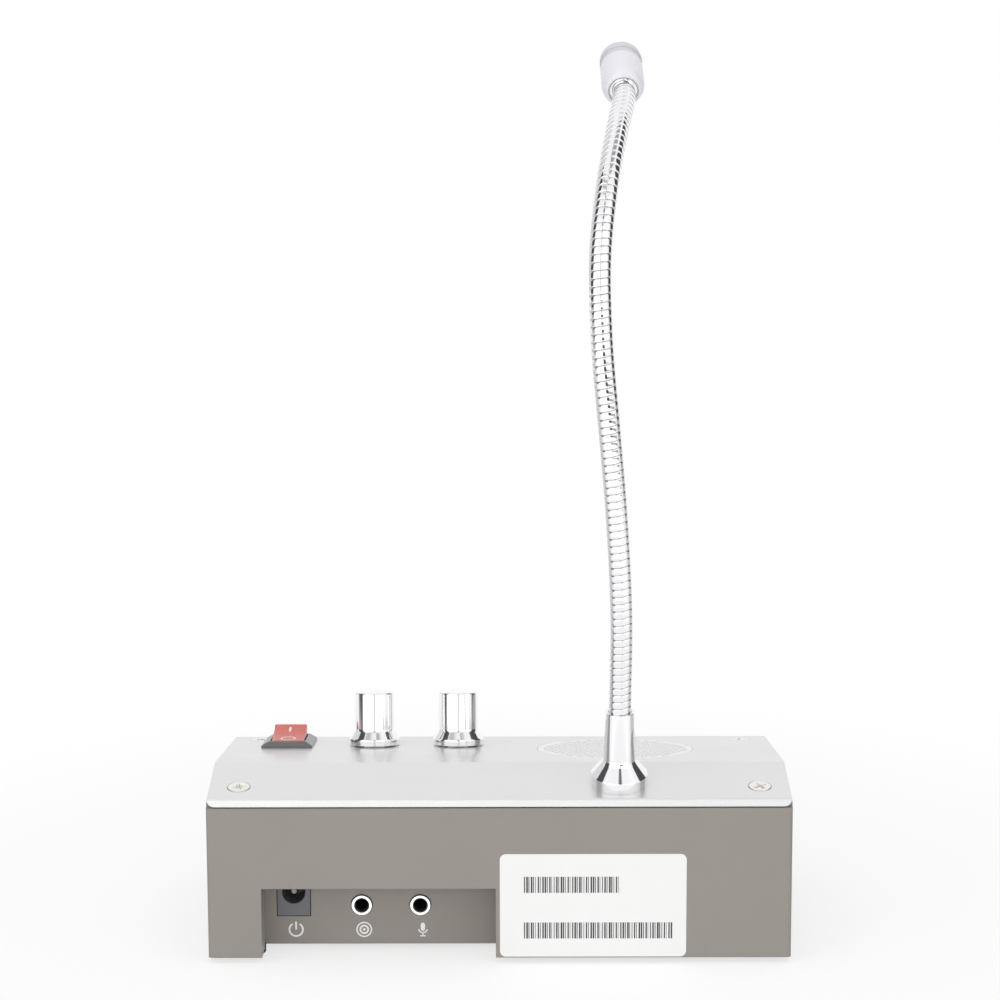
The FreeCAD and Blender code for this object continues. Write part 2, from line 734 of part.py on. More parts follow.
def capacitors():
    """Three upright electrolytic capacitors with a pinched ring near the foot."""
    cans = []
    for x, y, radius, height in can_places():
        foot = case_point(BOARD_LEFT + x, BOARD_SETBACK + y, BOARD_TOP)
        can = turned([(0, 0), (radius, 0), (radius, 1.0), (radius - CAN_PINCH, 1.6), (radius, 2.2),
                      (radius, height - CAN_PINCH), (radius - CAN_PINCH, height), (0, height)])
        cans.append(placed(can, Placement(foot, Rotation())))
    return Part.makeCompound(cans)


def board_chips():
    """Two eight-legged chips."""
    x = SINK_X + SINK_W + DIP_FROM_SINK
    chips = []
    for y in DIP_YS:
        chip = board_box(x, y, DIP_L, DIP_W, DIP_H, DIP_LIFT)
        for k in range(4):
            leg_x = x + DIP_L / 2 + (k - 1.5) * DIP_PITCH - DIP_LEG / 2
            for leg_y in (y - DIP_LEG, y + DIP_W):
                chip = chip.fuse(board_box(leg_x, leg_y, DIP_LEG, DIP_LEG, DIP_LIFT + DIP_H / 2))
        chips.append(chip.removeSplitter())
    return Part.makeCompound(chips)


def header_centres():
    """X and setback of the five wire headers: switch, two controls, loudspeaker, microphone."""
    right = BOARD_LEFT + BOARD_W - HEADER_FROM_EDGE
    return {"switch": (SWITCH_X, BOARD_SETBACK + SWITCH_HEADER_Y),
            "talk": (KNOB_XS[0], lug_tips(KNOB_XS[0])[1].y + CASE_D / 2),
            "listen": (KNOB_XS[1], lug_tips(KNOB_XS[1])[1].y + CASE_D / 2),
            "speaker": (right, BOARD_SETBACK + SPEAKER_HEADER_Y),
            "microphone": (right, BOARD_SETBACK + MIC_HEADER_Y)}


def wire_headers():
    """Five wire headers on the board."""
    return Part.makeCompound([case_box(x - HEADER_W / 2, x + HEADER_W / 2, s - HEADER_D / 2,
                                       s + HEADER_D / 2, BOARD_TOP, BOARD_TOP + HEADER_H)
                              for x, s in header_centres().values()])


# ---- rocker switch, in the control panel's frame ----

def switch_housing():
    """Bevelled bezel and body, open inside, with the rocker's bearings and the tag slots."""
    def ring(width, length, z):
        signs = ((-1, -1), (1, -1), (1, 1), (-1, 1))
        corners = [Vector(sx * width / 2, sy * length / 2, z) for sx, sy in signs]
        return Part.makePolygon(corners + [corners[0]])

    flange = box(-BEZEL_W / 2, BEZEL_W / 2, -BEZEL_L / 2, BEZEL_L / 2, 0, BEZEL_EDGE_H)
    top = ring(SWITCH_OPEN_W + 2 * BEZEL_SIDE_RIM, SWITCH_OPEN_L + 2 * BEZEL_END_RIM, BEZEL_H)
    bevel = Part.makeLoft([ring(BEZEL_W, BEZEL_L, BEZEL_EDGE_H), top], True, True)
    body = box(-BODY_W / 2, BODY_W / 2, -BODY_L / 2, BODY_L / 2, -SWITCH_BODY_H, 0)
    well = box(-SWITCH_OPEN_W / 2, SWITCH_OPEN_W / 2, -SWITCH_OPEN_L / 2, SWITCH_OPEN_L / 2,
               -SWITCH_BODY_H + SWITCH_WALL, BEZEL_H + 1)
    reach = ROCKER_W / 2 + TRUNNION_L + SHAFT_CLEAR
    bearing = Part.makeCylinder(TRUNNION_R + SHAFT_CLEAR, 2 * reach, Vector(-reach, 0, -PIVOT_DEPTH), X_AXIS)
    housing = flange.multiFuse([bevel, body]).cut(well).cut(bearing)
    for y in TAG_YS:
        slot = box(-TAG_W / 2 - SHAFT_CLEAR, TAG_W / 2 + SHAFT_CLEAR, y - TAG_T / 2 - SHAFT_CLEAR,
                   y + TAG_T / 2 + SHAFT_CLEAR, -SWITCH_BODY_H - 1, -SWITCH_BODY_H + SWITCH_WALL + 1)
        housing = housing.cut(slot)
    return placed(housing.removeSplitter(), on_panel(SWITCH_X, SWITCH_SETBACK))


def on_rocker():
    """Frame at the rocker's axis, tipped so that its rear half is pressed."""
    tip = Placement(Vector(0, 0, -PIVOT_DEPTH), Rotation(X_AXIS, ROCKER_SWING))
    return on_panel(SWITCH_X, SWITCH_SETBACK).multiply(tip)


def switch_rocker():
    """The rocker: two flat halves meeting in a valley, side trunnions and a hollow stem."""
    swing = math.radians(ROCKER_SWING)
    crest = (ROCKER_PRESSED_H + PIVOT_DEPTH + ROCKER_HALF_L * math.sin(swing)) / math.cos(swing)
    valley = crest - ROCKER_HALF_L * math.tan(math.radians(ROCKER_VALLEY))
    foot = ROCKER_HALF_L - ROCKER_TAPER
    outline = [(0, valley), (ROCKER_HALF_L, crest), (foot, 0), (STEM_R + 1, -STEM_R), (-STEM_R - 1, -STEM_R),
               (-foot, 0), (-ROCKER_HALF_L, crest)]
    corners = [Vector(-ROCKER_W / 2, y, z) for y, z in outline]
    rocker = Part.Face(Part.makePolygon(corners + [corners[0]])).extrude(Vector(ROCKER_W, 0, 0))
    crests = edges_along(rocker, X_AXIS, lambda p: abs(p.z - crest) < 0.01)
    rocker = rocker.makeFillet(ROCKER_EDGE, crests)
    reach = ROCKER_W / 2 + TRUNNION_L
    rocker = rocker.fuse(Part.makeCylinder(TRUNNION_R, 2 * reach, Vector(-reach, 0, 0), X_AXIS))
    rocker = rocker.fuse(rod(STEM_R, -STEM_L, -1)).cut(rod(PLUNGER_R + SHAFT_CLEAR, -STEM_L, -SPRING_TOP))
    return placed(rocker.removeSplitter(), on_rocker())


def switch_plunger():
    """Round-nosed plunger in the rocker's stem."""
    nose = PLUNGER_REACH - PLUNGER_R
    pin = rod(PLUNGER_R, -nose, -SPRING_TOP - SPRING_L)
    return placed(pin.fuse(Part.makeSphere(PLUNGER_R, Vector(0, 0, -nose))).removeSplitter(), on_rocker())


def switch_spring():
    """Coil spring pressing the plunger out of the stem."""
    radius = PLUNGER_R - SPRING_WIRE_R - SHAFT_CLEAR
    length = SPRING_L - 2 * SPRING_WIRE_R
    path = Part.makeHelix(length / SPRING_TURNS, length, radius)
    section = Part.Wire(Part.makeCircle(SPRING_WIRE_R, Vector(radius, 0, 0), Vector(0, 1, 0)))
    coil = Part.Wire(path).makePipeShell([section], True, True)
    coil.translate(Vector(0, 0, -SPRING_TOP - SPRING_L + SPRING_WIRE_R))
    return placed(coil, on_rocker())


def fulcrum_z():
    """Level of the see-saw blade's fulcrum in the panel's frame."""
    return -PIVOT_DEPTH - PLUNGER_REACH - BLADE_AIR - BLADE_T - BLADE_AIR - FULCRUM_R


def switch_blade():
    """See-saw contact blade, tipped down at its far end."""
    low = FULCRUM_R + BLADE_AIR
    blade = box(-BLADE_W / 2, BLADE_W / 2, -BLADE_L / 2, BLADE_L / 2, low, low + BLADE_T)
    tip = Placement(Vector(0, 0, fulcrum_z()), Rotation(X_AXIS, -BLADE_TILT))
    return placed(blade, on_panel(SWITCH_X, SWITCH_SETBACK).multiply(tip))


def switch_tags():
    """The fulcrum tag and the contact tag, passing out through the body's floor."""
    top = fulcrum_z()
    drop = TAG_SPACING * math.tan(math.radians(BLADE_TILT)) - FULCRUM_R
    tops = (top, top - max(drop, 0) - BLADE_AIR)
    tags = [box(-TAG_W / 2, TAG_W / 2, y - TAG_T / 2, y + TAG_T / 2, -TAG_TIP, z)
            for y, z in zip(TAG_YS, tops)]
    ridge = Part.makeCylinder(FULCRUM_R, TAG_W, Vector(-TAG_W / 2, 0, top), X_AXIS)
    tags[0] = tags[0].fuse(ridge).removeSplitter()
    place = on_panel(SWITCH_X, SWITCH_SETBACK)
    return Part.makeCompound([placed(tag, place) for tag in tags])


# ---- volume controls, in the control panel's frame ----

def keyed_rod(radius, flat_y, z0, z1):
    """A rod with one flat, facing +Y."""
    return rod(radius, z0, z1).cut(box(-radius, radius, flat_y, 2 * radius, z0, z1))


def pot_cases():
    """Round cases of the two volume controls with their threaded bushes."""
    low = -COVER_T - POT_DEPTH
    case = rod(POT_R, low, -COVER_T).fuse(rod(BUSH_R, -COVER_T, BUSH_TOP))
    case = case.cut(rod(POT_R - POT_WALL, low + POT_WALL, -COVER_T - POT_WALL))
    case = case.cut(rod(SHAFT_R + SHAFT_CLEAR, low + POT_WALL, BUSH_TOP + 1)).removeSplitter()
    return Part.makeCompound([placed(case, on_panel(x, KNOB_SETBACK)) for x in KNOB_XS])


def pot_shaft(x):
    """Control shaft with a wiper arm inside the case and a flat for the knob."""
    low = -COVER_T - POT_DEPTH + POT_WALL + WIPER_AIR
    middle = -COVER_T - POT_DEPTH / 2
    wiper = rod(SHAFT_R + WIPER_T, middle, middle + WIPER_T)
    arm = box(-SHAFT_R / 2, SHAFT_R / 2, 0, WIPER_R, middle, middle + WIPER_T)
    key = keyed_rod(SHAFT_R, SHAFT_R - SHAFT_FLAT, BUSH_TOP, SHAFT_TOP)
    shaft = rod(SHAFT_R, low, BUSH_TOP).multiFuse([key, wiper, arm])
    return placed(shaft.removeSplitter(), on_panel(x, KNOB_SETBACK))


def pot_nuts():
    """The two hexagon nuts that hold the controls to the panel."""
    nut = hexagon(POT_NUT_AF, 0, POT_NUT_H, BUSH_R)
    return Part.makeCompound([placed(nut, on_panel(x, KNOB_SETBACK)) for x in KNOB_XS])


def lug_z():
    """Level of the solder lugs in the panel's frame."""
    return -COVER_T - POT_DEPTH + POT_WALL


def pot_lugs():
    """Three solder lugs on each control, pointing to the rear."""
    lugs = []
    for x in KNOB_XS:
        for k in (-1, 0, 1):
            lug = box(k * LUG_PITCH - LUG_W / 2, k * LUG_PITCH + LUG_W / 2, -POT_R - LUG_L, 0,
                      lug_z(), lug_z() + LUG_T)
            lugs.append(placed(lug.cut(rod(POT_R, lug_z(), lug_z() + LUG_T)), on_panel(x, KNOB_SETBACK)))
    return Part.makeCompound(lugs)


def lug_tips(x):
    """Undersides of the three lug ends of the control at x."""
    place = on_panel(x, KNOB_SETBACK)
    reach = -POT_R - LUG_L + LUG_W / 2
    return [place.multVec(Vector(k * LUG_PITCH, reach, lug_z())) for k in (-1, 0, 1)]


def knob(x):
    """Turned metal knob: flange, cone and plain grip, hollow over the nut."""
    well_r = POT_NUT_AF / 2 / math.cos(math.pi / 6) + SEAM
    well_top = POT_NUT_H + KNOB_GAP
    bore_top = SHAFT_TOP + SEAM
    shell = turned([(well_r, KNOB_GAP), (KNOB_BASE_R, KNOB_GAP), (KNOB_BASE_R, KNOB_FLANGE_TOP),
                    (KNOB_TOP_R, KNOB_CONE_TOP), (KNOB_TOP_R, KNOB_H - KNOB_EDGE),
                    (KNOB_TOP_R - KNOB_EDGE, KNOB_H), (0, KNOB_H), (0, bore_top), (INSERT_R, bore_top),
                    (INSERT_R, well_top), (well_r, well_top)])
    return placed(shell, on_panel(x, KNOB_SETBACK))


def knob_insert(x):
    """Plastic bush pressed into the knob and keyed to the shaft."""
    low = BUSH_TOP + SEAM
    bore = keyed_rod(SHAFT_R + NECK_FIT, SHAFT_R - SHAFT_FLAT + NECK_FIT, low, SHAFT_TOP)
    return placed(rod(INSERT_R, low, SHAFT_TOP).cut(bore), on_panel(x, KNOB_SETBACK))


# ---- grille and loudspeaker, in the control panel's frame ----

GASKET_TOP = -COVER_T - GRILLE_T
RIM_TOP = GASKET_TOP - GASKET_T
CLAMP_TOP = RIM_TOP - FRAME_T
BASKET_LOW = RIM_TOP - BASKET_H
RIM_INNER = SPEAKER_R - RIM_W


def on_speaker(shape):
    """A shape moved to the grille's centre on the panel."""
    return placed(shape, on_panel(GRILLE_X, GRILLE_SETBACK))


def hole_centres(reach, pitch):
    """Centres of a staggered pattern of holes within a radius, in columns along Y."""
    row = pitch * math.sqrt(3) / 2
    count = int(reach / row) + 1
    centres = []
    for j in range(-count, count + 1):
        for i in range(-count - 1, count + 2):
            x = (i + (j % 2) / 2) * pitch
            y = j * row
            if math.hypot(x, y) <= reach:
                centres.append((x, y))
    return centres


def perforated_disc(radius, hole_r, pitch, z0, z1, margin):
    """A disc with a staggered pattern of round holes."""
    outer = Part.Wire(Part.makeCircle(radius, Vector(0, 0, z0)))
    holes = [Part.Wire(Part.makeCircle(hole_r, Vector(x, y, z0), Vector(0, 0, -1)))
             for x, y in hole_centres(radius - margin - hole_r, pitch)]
    return Part.Face([outer] + holes).extrude(Vector(0, 0, z1 - z0))


def speaker_grille():
    """Perforated cap, flush with the panel, with a flange under the cover."""
    radius = GRILLE_R - GRILLE_GAP
    disc = perforated_disc(radius, HOLE_R, HOLE_PITCH, -GRILLE_T, 0, GRILLE_T)
    skirt = tube(radius, radius - GRILLE_T, GASKET_TOP, -GRILLE_T)
    flange = tube(GRILLE_R + GRILLE_FLANGE, radius - GRILLE_T, GASKET_TOP, -COVER_T)
    return on_speaker(disc.multiFuse([skirt, flange]).removeSplitter())


def speaker_gasket():
    """Foam ring between the grille and the loudspeaker's rim."""
    return on_speaker(tube(SPEAKER_R, RIM_INNER + GASKET_T, RIM_TOP, GASKET_TOP))


def wall_of_frame():
    """Horizontal thickness of the basket's sloping wall."""
    return math.hypot(RIM_INNER - BASKET_R, BASKET_H) / BASKET_H * FRAME_T


def speaker_frame():
    """Pressed basket with four windows."""
    wall = wall_of_frame()
    floor_r = BASKET_R - wall + BASKET_FLOOR * (RIM_INNER - BASKET_R) / BASKET_H
    frame = turned([(SPEAKER_R, RIM_TOP), (SPEAKER_R, CLAMP_TOP), (RIM_INNER, CLAMP_TOP),
                    (BASKET_R, BASKET_LOW), (COIL_R + COIL_AIR, BASKET_LOW),
                    (COIL_R + COIL_AIR, BASKET_LOW + BASKET_FLOOR), (floor_r, BASKET_LOW + BASKET_FLOOR),
                    (RIM_INNER - wall, RIM_TOP)])
    middle = (CLAMP_TOP + BASKET_LOW) / 2
    for k in range(4):
        window = box(-WINDOW_W / 2, WINDOW_W / 2, BASKET_R - 2 * wall, SPEAKER_R,
                     middle - WINDOW_H / 2, middle + WINDOW_H / 2)
        window.rotate(ORIGIN, Z_AXIS, 90 * k)
        frame = frame.cut(window)
    return on_speaker(frame)


def speaker_magnet():
    """Ring magnet under the basket."""
    return on_speaker(tube(MAGNET_R, COIL_R + COIL_AIR + 1, BASKET_LOW - MAGNET_H, BASKET_LOW))


def speaker_yoke():
    """Back plate with the centre pole."""
    top = BASKET_LOW - MAGNET_H
    plate = rod(YOKE_R, top - YOKE_T, top)
    pole = rod(COIL_R - COIL_T - COIL_AIR, top, BASKET_LOW + BASKET_FLOOR)
    return on_speaker(plate.fuse(pole).removeSplitter())


def voice_coil():
    """Coil former reaching into the magnet's gap."""
    low = BASKET_LOW - SEAM
    return on_speaker(tube(COIL_R, COIL_R - COIL_T, low, RIM_TOP - CONE_DEPTH))


def speaker_cone():
    """Paper cone from the surround down to the coil former."""
    low = RIM_TOP - CONE_DEPTH
    return on_speaker(turned([(CONE_R, RIM_TOP), (CONE_R, RIM_TOP - CONE_T), (COIL_R, low - CONE_T),
                              (COIL_R, low)]))


def dust_cap():
    """Shallow domed cap on the end of the coil former."""
    low = RIM_TOP - CONE_DEPTH
    radius = (COIL_R ** 2 + CAP_RISE ** 2) / (2 * CAP_RISE)
    centre = Vector(0, 0, low + CAP_RISE - radius)
    dome = Part.makeSphere(radius, centre).cut(Part.makeSphere(radius - COIL_T, centre))
    return on_speaker(dome.common(rod(COIL_R, low, low + 2 * CAP_RISE)))


def speaker_surround():
    """Rolled edge between the cone and the frame's rim."""
    width = RIM_INNER - wall_of_frame() - CONE_R
    crest = RIM_TOP + GASKET_T - GRILLE_GAP
    lip = RIM_INNER + GASKET_T - SEAM
    over = [(CONE_R, RIM_TOP), (CONE_R + 0.25 * width, crest), (CONE_R + 0.75 * width, crest),
            (CONE_R + width, RIM_TOP + CONE_T), (lip, RIM_TOP + CONE_T)]
    under = [(lip, RIM_TOP), (CONE_R + 0.9 * width, RIM_TOP), (CONE_R + 0.65 * width, crest - CONE_T),
             (CONE_R + 0.35 * width, crest - CONE_T), (CONE_R + 0.2 * width, RIM_TOP - CONE_T),
             (CONE_R, RIM_TOP - CONE_T)]
    return on_speaker(turned(over + under))


def speaker_clamp():
    """Clamp ring with four ears, pressing the rim against the grille."""
    low = CLAMP_TOP - CLAMP_T
    clamp = rod(SPEAKER_R + CLAMP_BAND, low, CLAMP_TOP)
    for x, y in ear_points():
        ear = rod(CLAMP_EAR_R, low, CLAMP_TOP, x, y)
        arm = box(0, math.hypot(x, y), -CLAMP_EAR_R, CLAMP_EAR_R, low, CLAMP_TOP)
        arm.rotate(ORIGIN, Z_AXIS, math.degrees(math.atan2(y, x)))
        clamp = clamp.fuse(ear).fuse(arm)
    clamp = clamp.cut(rod(RIM_INNER + SEAM, low, CLAMP_TOP))
    for x, y in ear_points():
        clamp = clamp.cut(rod(CLAMP_SCREW_R + JACK_CLEAR, low, CLAMP_TOP, x, y))
    return on_speaker(clamp.removeSplitter())


def clamp_screws():
    """Four pan-head screws from the clamp's ears into tapped bosses under the cover."""
    top = CLAMP_TOP - CLAMP_T
    head = rod(CLAMP_HEAD_R, top - CLAMP_HEAD_H, top)
    screw = head.fuse(rod(CLAMP_SCREW_R, top, -COVER_T)).removeSplitter()
    return on_speaker(Part.makeCompound([placed(screw, Placement(Vector(x, y, 0), Rotation()))
                                         for x, y in ear_points()]))


# ---- neck ----

def on_collar():
    """Frame at the collar's foot on the rear slope."""
    return on_slope(COLLAR_X, COLLAR_SETBACK)


def neck_collar():
    """Turned collar: flange, cone and sleeve, with a hollow threaded stem below the cover."""
    seat = COLLAR_H - COLLAR_SOCKET
    bore = NECK_R + NECK_FIT
    collar = turned([(NECK_BORE_R, -STEM_THREAD_L), (STEM_THREAD_R, -STEM_THREAD_L), (STEM_THREAD_R, 0),
                     (COLLAR_FLANGE_R, 0), (COLLAR_FLANGE_R, COLLAR_FLANGE_H),
                     (COLLAR_FOOT_R, COLLAR_FLANGE_H + COLLAR_CONE_H), (COLLAR_TOP_R, COLLAR_H),
                     (bore, COLLAR_H), (bore, seat), (NECK_BORE_R, seat)])
    return placed(collar, on_collar())


def neck_nut():
    """Hexagon nut under the cover on the collar's stem."""
    return placed(hexagon(NECK_NUT_AF, -COVER_T - NECK_NUT_H, -COVER_T, STEM_THREAD_R), on_collar())


def pointing(tilt, lean):
    """Unit direction tilted towards the teller and leaning to +X, in degrees."""
    tilt = math.radians(tilt)
    lean = math.radians(lean)
    return Vector(math.sin(lean), math.cos(lean) * math.sin(tilt), math.cos(lean) * math.cos(tilt))


def link_direction(index):
    """Unit direction of a length of the neck."""
    return pointing(LINK_TILTS[index], LINK_LEANS[index])


def neck_points():
    """The collar's mouth, the seven ball joints and the neck's end."""
    points = [on_collar().multVec(Vector(0, 0, COLLAR_H))]
    for index in range(len(LINK_TILTS)):
        points.append(points[-1] + link_direction(index) * (FIRST_LINK - LINK_STEP * index))
    return points


def rim_drop(index):
    """How far a socket's rim stays below the ball joint above a length of the neck."""
    bend = math.degrees(link_direction(index).getAngle(link_direction(index + 1)))
    return NECK_R * math.tan(math.radians(bend + NECK_BEND)) + RIM_SPARE


def neck_link(index):
    """One rigid length: a ball end below, a cup above and a bore for the lead."""
    points = neck_points()
    run = points[index + 1] - points[index]
    first = index == 0
    last = index == len(LINK_TILTS) - 1
    place = Placement(points[index], Rotation(Z_AXIS, run))
    low = -COLLAR_SOCKET if first else 0
    high = run.Length if last else run.Length - rim_drop(index)
    link = rod(NECK_R, low, high)
    if not first:
        link = link.fuse(Part.makeSphere(NECK_R))
    if not last:
        link = link.cut(Part.makeSphere(NECK_R + BALL_CLEAR, Vector(0, 0, run.Length)))
    link = placed(link, place)
    if last:
        link = link.fuse(neck_tip(NECK_R)).cut(neck_tip(NECK_BORE_R, 1))
    return link.cut(placed(rod(NECK_BORE_R, low - 2 * NECK_R, high + 1), place)).removeSplitter()


def neck_tip(radius, spare=0):
    """The bent end of the last length: a round knee and a stub into the microphone."""
    tip = Part.makeSphere(radius).fuse(rod(radius, 0, MIC_STUB + MIC_ENTRY + spare))
    return placed(tip, Placement(neck_points()[-1], Rotation(Z_AXIS, pointing(MIC_TILT, MIC_LEAN))))


# ---- microphone, on the stub of the neck's last length ----

def on_mic(shape):
    """A shape moved so that local Z runs from the microphone's back through its axis."""
    axis = pointing(MIC_TILT, MIC_LEAN)
    return placed(shape, Placement(neck_points()[-1] + axis * MIC_STUB, Rotation(Z_AXIS, axis)))


def mic_housing():
    """Rear shell of the microphone head, rounded at the back, with a relief round the ferrule."""
    inner = MIC_R - MIC_WALL
    mouth = FERRULE_R + FERRULE_GAP
    shell = turned([(mouth, 0), (MIC_R, 0), (MIC_R, MIC_JOINT), (inner, MIC_JOINT), (inner, FERRULE_L),
                    (FERRULE_R, FERRULE_L), (FERRULE_R, FERRULE_GAP_L), (mouth, FERRULE_GAP_L)])
    return on_mic(shell.makeFillet((MIC_R - mouth) * 0.9, ring_edges(shell, MIC_R, 0)))


def ring_edges(shape, radius, z):
    """Circular edges of a given radius and level."""
    return [e for e in shape.Edges if e.Curve.TypeId == "Part::GeomCircle"
            and abs(e.Curve.Radius - radius) < 0.01 and abs(e.Curve.Center.z - z) < 0.01]


def mic_ferrule():
    """Plated ferrule between the neck's stub and the microphone shell."""
    return on_mic(tube(FERRULE_R, NECK_R, SEAM, MIC_ENTRY + SEAM))


def mic_cap():
    """Perforated front cap with a shallow band behind its rim and a spigot inside the rear shell."""
    spigot = MIC_R - MIC_WALL
    band = MIC_R - MIC_BAND_DEPTH
    low = MIC_JOINT + MIC_BAND_L
    face = MIC_L - MIC_WALL
    cap = turned([(spigot - MIC_WALL, MIC_JOINT - SPIGOT_L), (spigot, MIC_JOINT - SPIGOT_L),
                  (spigot, MIC_JOINT), (band, MIC_JOINT), (band, low), (MIC_R, low), (MIC_R, MIC_L),
                  (0, MIC_L), (0, face), (spigot - MIC_WALL, face)])
    cap = cap.makeFillet(MIC_END_R, ring_edges(cap, MIC_R, MIC_L))
    reach = spigot - MIC_WALL - MIC_HOLE_R - MIC_BAND_DEPTH
    holes = [rod(MIC_HOLE_R, face - 1, MIC_L + 1, x, y) for x, y in hole_centres(reach, MIC_HOLE_PITCH)]
    return on_mic(cap.cut(holes))


def mic_capsule():
    """Round electret capsule, a push fit in the shell behind the cap's spigot."""
    top = MIC_JOINT - SPIGOT_L
    return on_mic(rod(MIC_R - MIC_WALL, top - CAPSULE_L, top))


# ---- leads inside the case ----

def lead(points, radius):
    """A round lead along straight runs joined by tangent arcs."""
    edges = []
    start = points[0]
    for before, corner, after in zip(points, points[1:], points[2:]):
        first = (corner - before).normalize()
        second = (after - corner).normalize()
        half_turn = first.getAngle(second) / 2
        reach = LEAD_SHARE * min((corner - before).Length, (after - corner).Length)
        bend = reach / math.tan(half_turn)
        inward = (second - first).normalize()
        centre = corner + inward * (bend / math.cos(half_turn))
        enter = corner - first * reach
        leave = corner + second * reach
        edges.append(Part.LineSegment(start, enter).toShape())
        edges.append(Part.Arc(enter, centre - inward * bend, leave).toShape())
        print("lead radius %.1f bend %.1f" % (radius, bend))
        start = leave
    edges.append(Part.LineSegment(start, points[-1]).toShape())
    section = Part.Wire(Part.makeCircle(radius, points[0], points[1] - points[0]))
    return Part.Wire(edges).makePipeShell([section], True, True)


def below_panel(point, fall):
    """The point reached from another by going down square to the control panel."""
    return point - Rotation(X_AXIS, -PANEL_SLOPE).multVec(Z_AXIS) * fall


def switch_runs():
    """Leads from the switch tags to their header."""
    place = on_panel(SWITCH_X, SWITCH_SETBACK)
    x, setback = header_centres()["switch"]
    leads = []
    for y, side in zip(TAG_YS, (-1, 1)):
        top = place.multVec(Vector(side * HEADER_PITCH / 2, y, -TAG_TIP))
        end = case_point(x + side * HEADER_PITCH / 2, setback + HEADER_D / 2, BOARD_TOP + HEADER_H / 2)
        fall = (top.z - end.z) / math.cos(math.radians(PANEL_SLOPE))
        leads.append(lead([top, below_panel(top, fall), end], LEAD_R))
    return leads


def pot_runs(name, knob_x):
    """Leads from a volume control's lugs down into its header."""
    x, setback = header_centres()[name]
    top = BOARD_TOP + HEADER_H
    leads = []
    for k, tip in zip((-1, 0, 1), lug_tips(knob_x)):
        end = case_point(x + k * HEADER_PITCH, setback, top)
        fall = (tip.z - end.z) / 3
        leads.append(lead([tip, below_panel(tip, fall), end + Vector(0, 0, fall), end], LEAD_R))
    return leads


def speaker_runs():
    """Leads from the loudspeaker's basket to their header."""
    place = on_panel(GRILLE_X, GRILLE_SETBACK)
    x, setback = header_centres()["speaker"]
    top = BOARD_TOP + HEADER_H
    leads = []
    for y, side in ((-HEADER_PITCH, -1), (HEADER_PITCH, 1)):
        start = place.multVec(Vector(-(BASKET_R + MAGNET_R) / 2, y, BASKET_LOW))
        end = case_point(x + side * HEADER_PITCH / 2, setback + side * HEADER_PITCH / 2, top)
        fall = (start.z - end.z) / 3
        leads.append(lead([start, below_panel(start, fall), end + Vector(0, 0, fall), end], LEAD_R))
    return leads


def hookup_leads():
    """All the thin leads: two to the switch, three to each control, two to the loudspeaker."""
    leads = switch_runs() + speaker_runs()
    for name, x in zip(("talk", "listen"), KNOB_XS):
        leads += pot_runs(name, x)
    return Part.makeCompound(leads)


def microphone_lead():
    """The screened lead from the neck's stem across the floor to its header."""
    x, setback = header_centres()["microphone"]
    start = on_collar().multVec(Vector(0, 0, -STEM_THREAD_L))
    below = on_collar().multVec(Vector(0, 0, -STEM_THREAD_L - MIC_LEAD_DROP))
    mouth = BOARD_TOP + HEADER_H / 2
    end = case_point(x + HEADER_W / 2, setback, mouth)
    turn = end + Vector(MIC_LEAD_RUN, 0, 0)
    middle = case_point(COLLAR_X - MIC_LEAD_SIDE, (below.y + turn.y) / 2 + CASE_D / 2, mouth + MIC_LEAD_SIDE)
    return lead([start, below, middle, turn, end], MIC_LEAD_R)


MAKERS = (
    base_housing, top_cover, cover_screws, rubber_feet, rear_label, main_board, board_screws,
    dc_inlet_body, dc_inlet_pin, jack_rings, heat_sink, amplifier_chip, capacitors, board_chips,
    wire_headers, switch_housing, switch_rocker, switch_plunger, switch_spring, switch_blade,
    switch_tags, pot_cases, pot_nuts, pot_lugs, speaker_grille, speaker_gasket, speaker_frame,
    speaker_magnet, speaker_yoke, voice_coil, speaker_cone, dust_cap, speaker_surround, speaker_clamp,
    clamp_screws, neck_collar, neck_nut, mic_housing, mic_ferrule, mic_cap, mic_capsule, hookup_leads,
    microphone_lead,
)


def parts():
    """Every sub-part under the name it is filed by."""
    made = {maker.__name__: maker() for maker in MAKERS}
    for name, x in zip(("speaker", "microphone"), JACK_XS):
        made[name + "_jack"] = jack(x)
    for name, x in zip(("talk", "listen"), KNOB_XS):
        made[name + "_pot_shaft"] = pot_shaft(x)
        made[name + "_knob"] = knob(x)
        made[name + "_knob_insert"] = knob_insert(x)
    for index in range(len(LINK_TILTS)):
        made["neck_link_%d" % (index + 1)] = neck_link(index)
    return made


def main():
    """Write one STEP file for each sub-part."""
    os.makedirs("parts", exist_ok=True)
    for name, shape in parts().items():
        shape.exportStep("parts/%s.step" % name)
        print("%-18s solids %d valid %s" % (name, len(shape.Solids), shape.isValid()))


if __name__ == "__main__":
    main()
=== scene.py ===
"""Looks of a desk-top teller window intercom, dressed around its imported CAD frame.

+X is to the right seen from the glass side, +Y points to the teller and +Z is up. Sizes
are millimetres, as on the part's drawing, until a mesh or a lamp is made in metres.
"""

import json
import logging
import math
from abc import ABC, abstractmethod
from collections.abc import Sequence
from dataclasses import dataclass, field
from enum import Enum, auto

import bmesh
import bpy
import numpy as np
from mathutils import Matrix, Vector

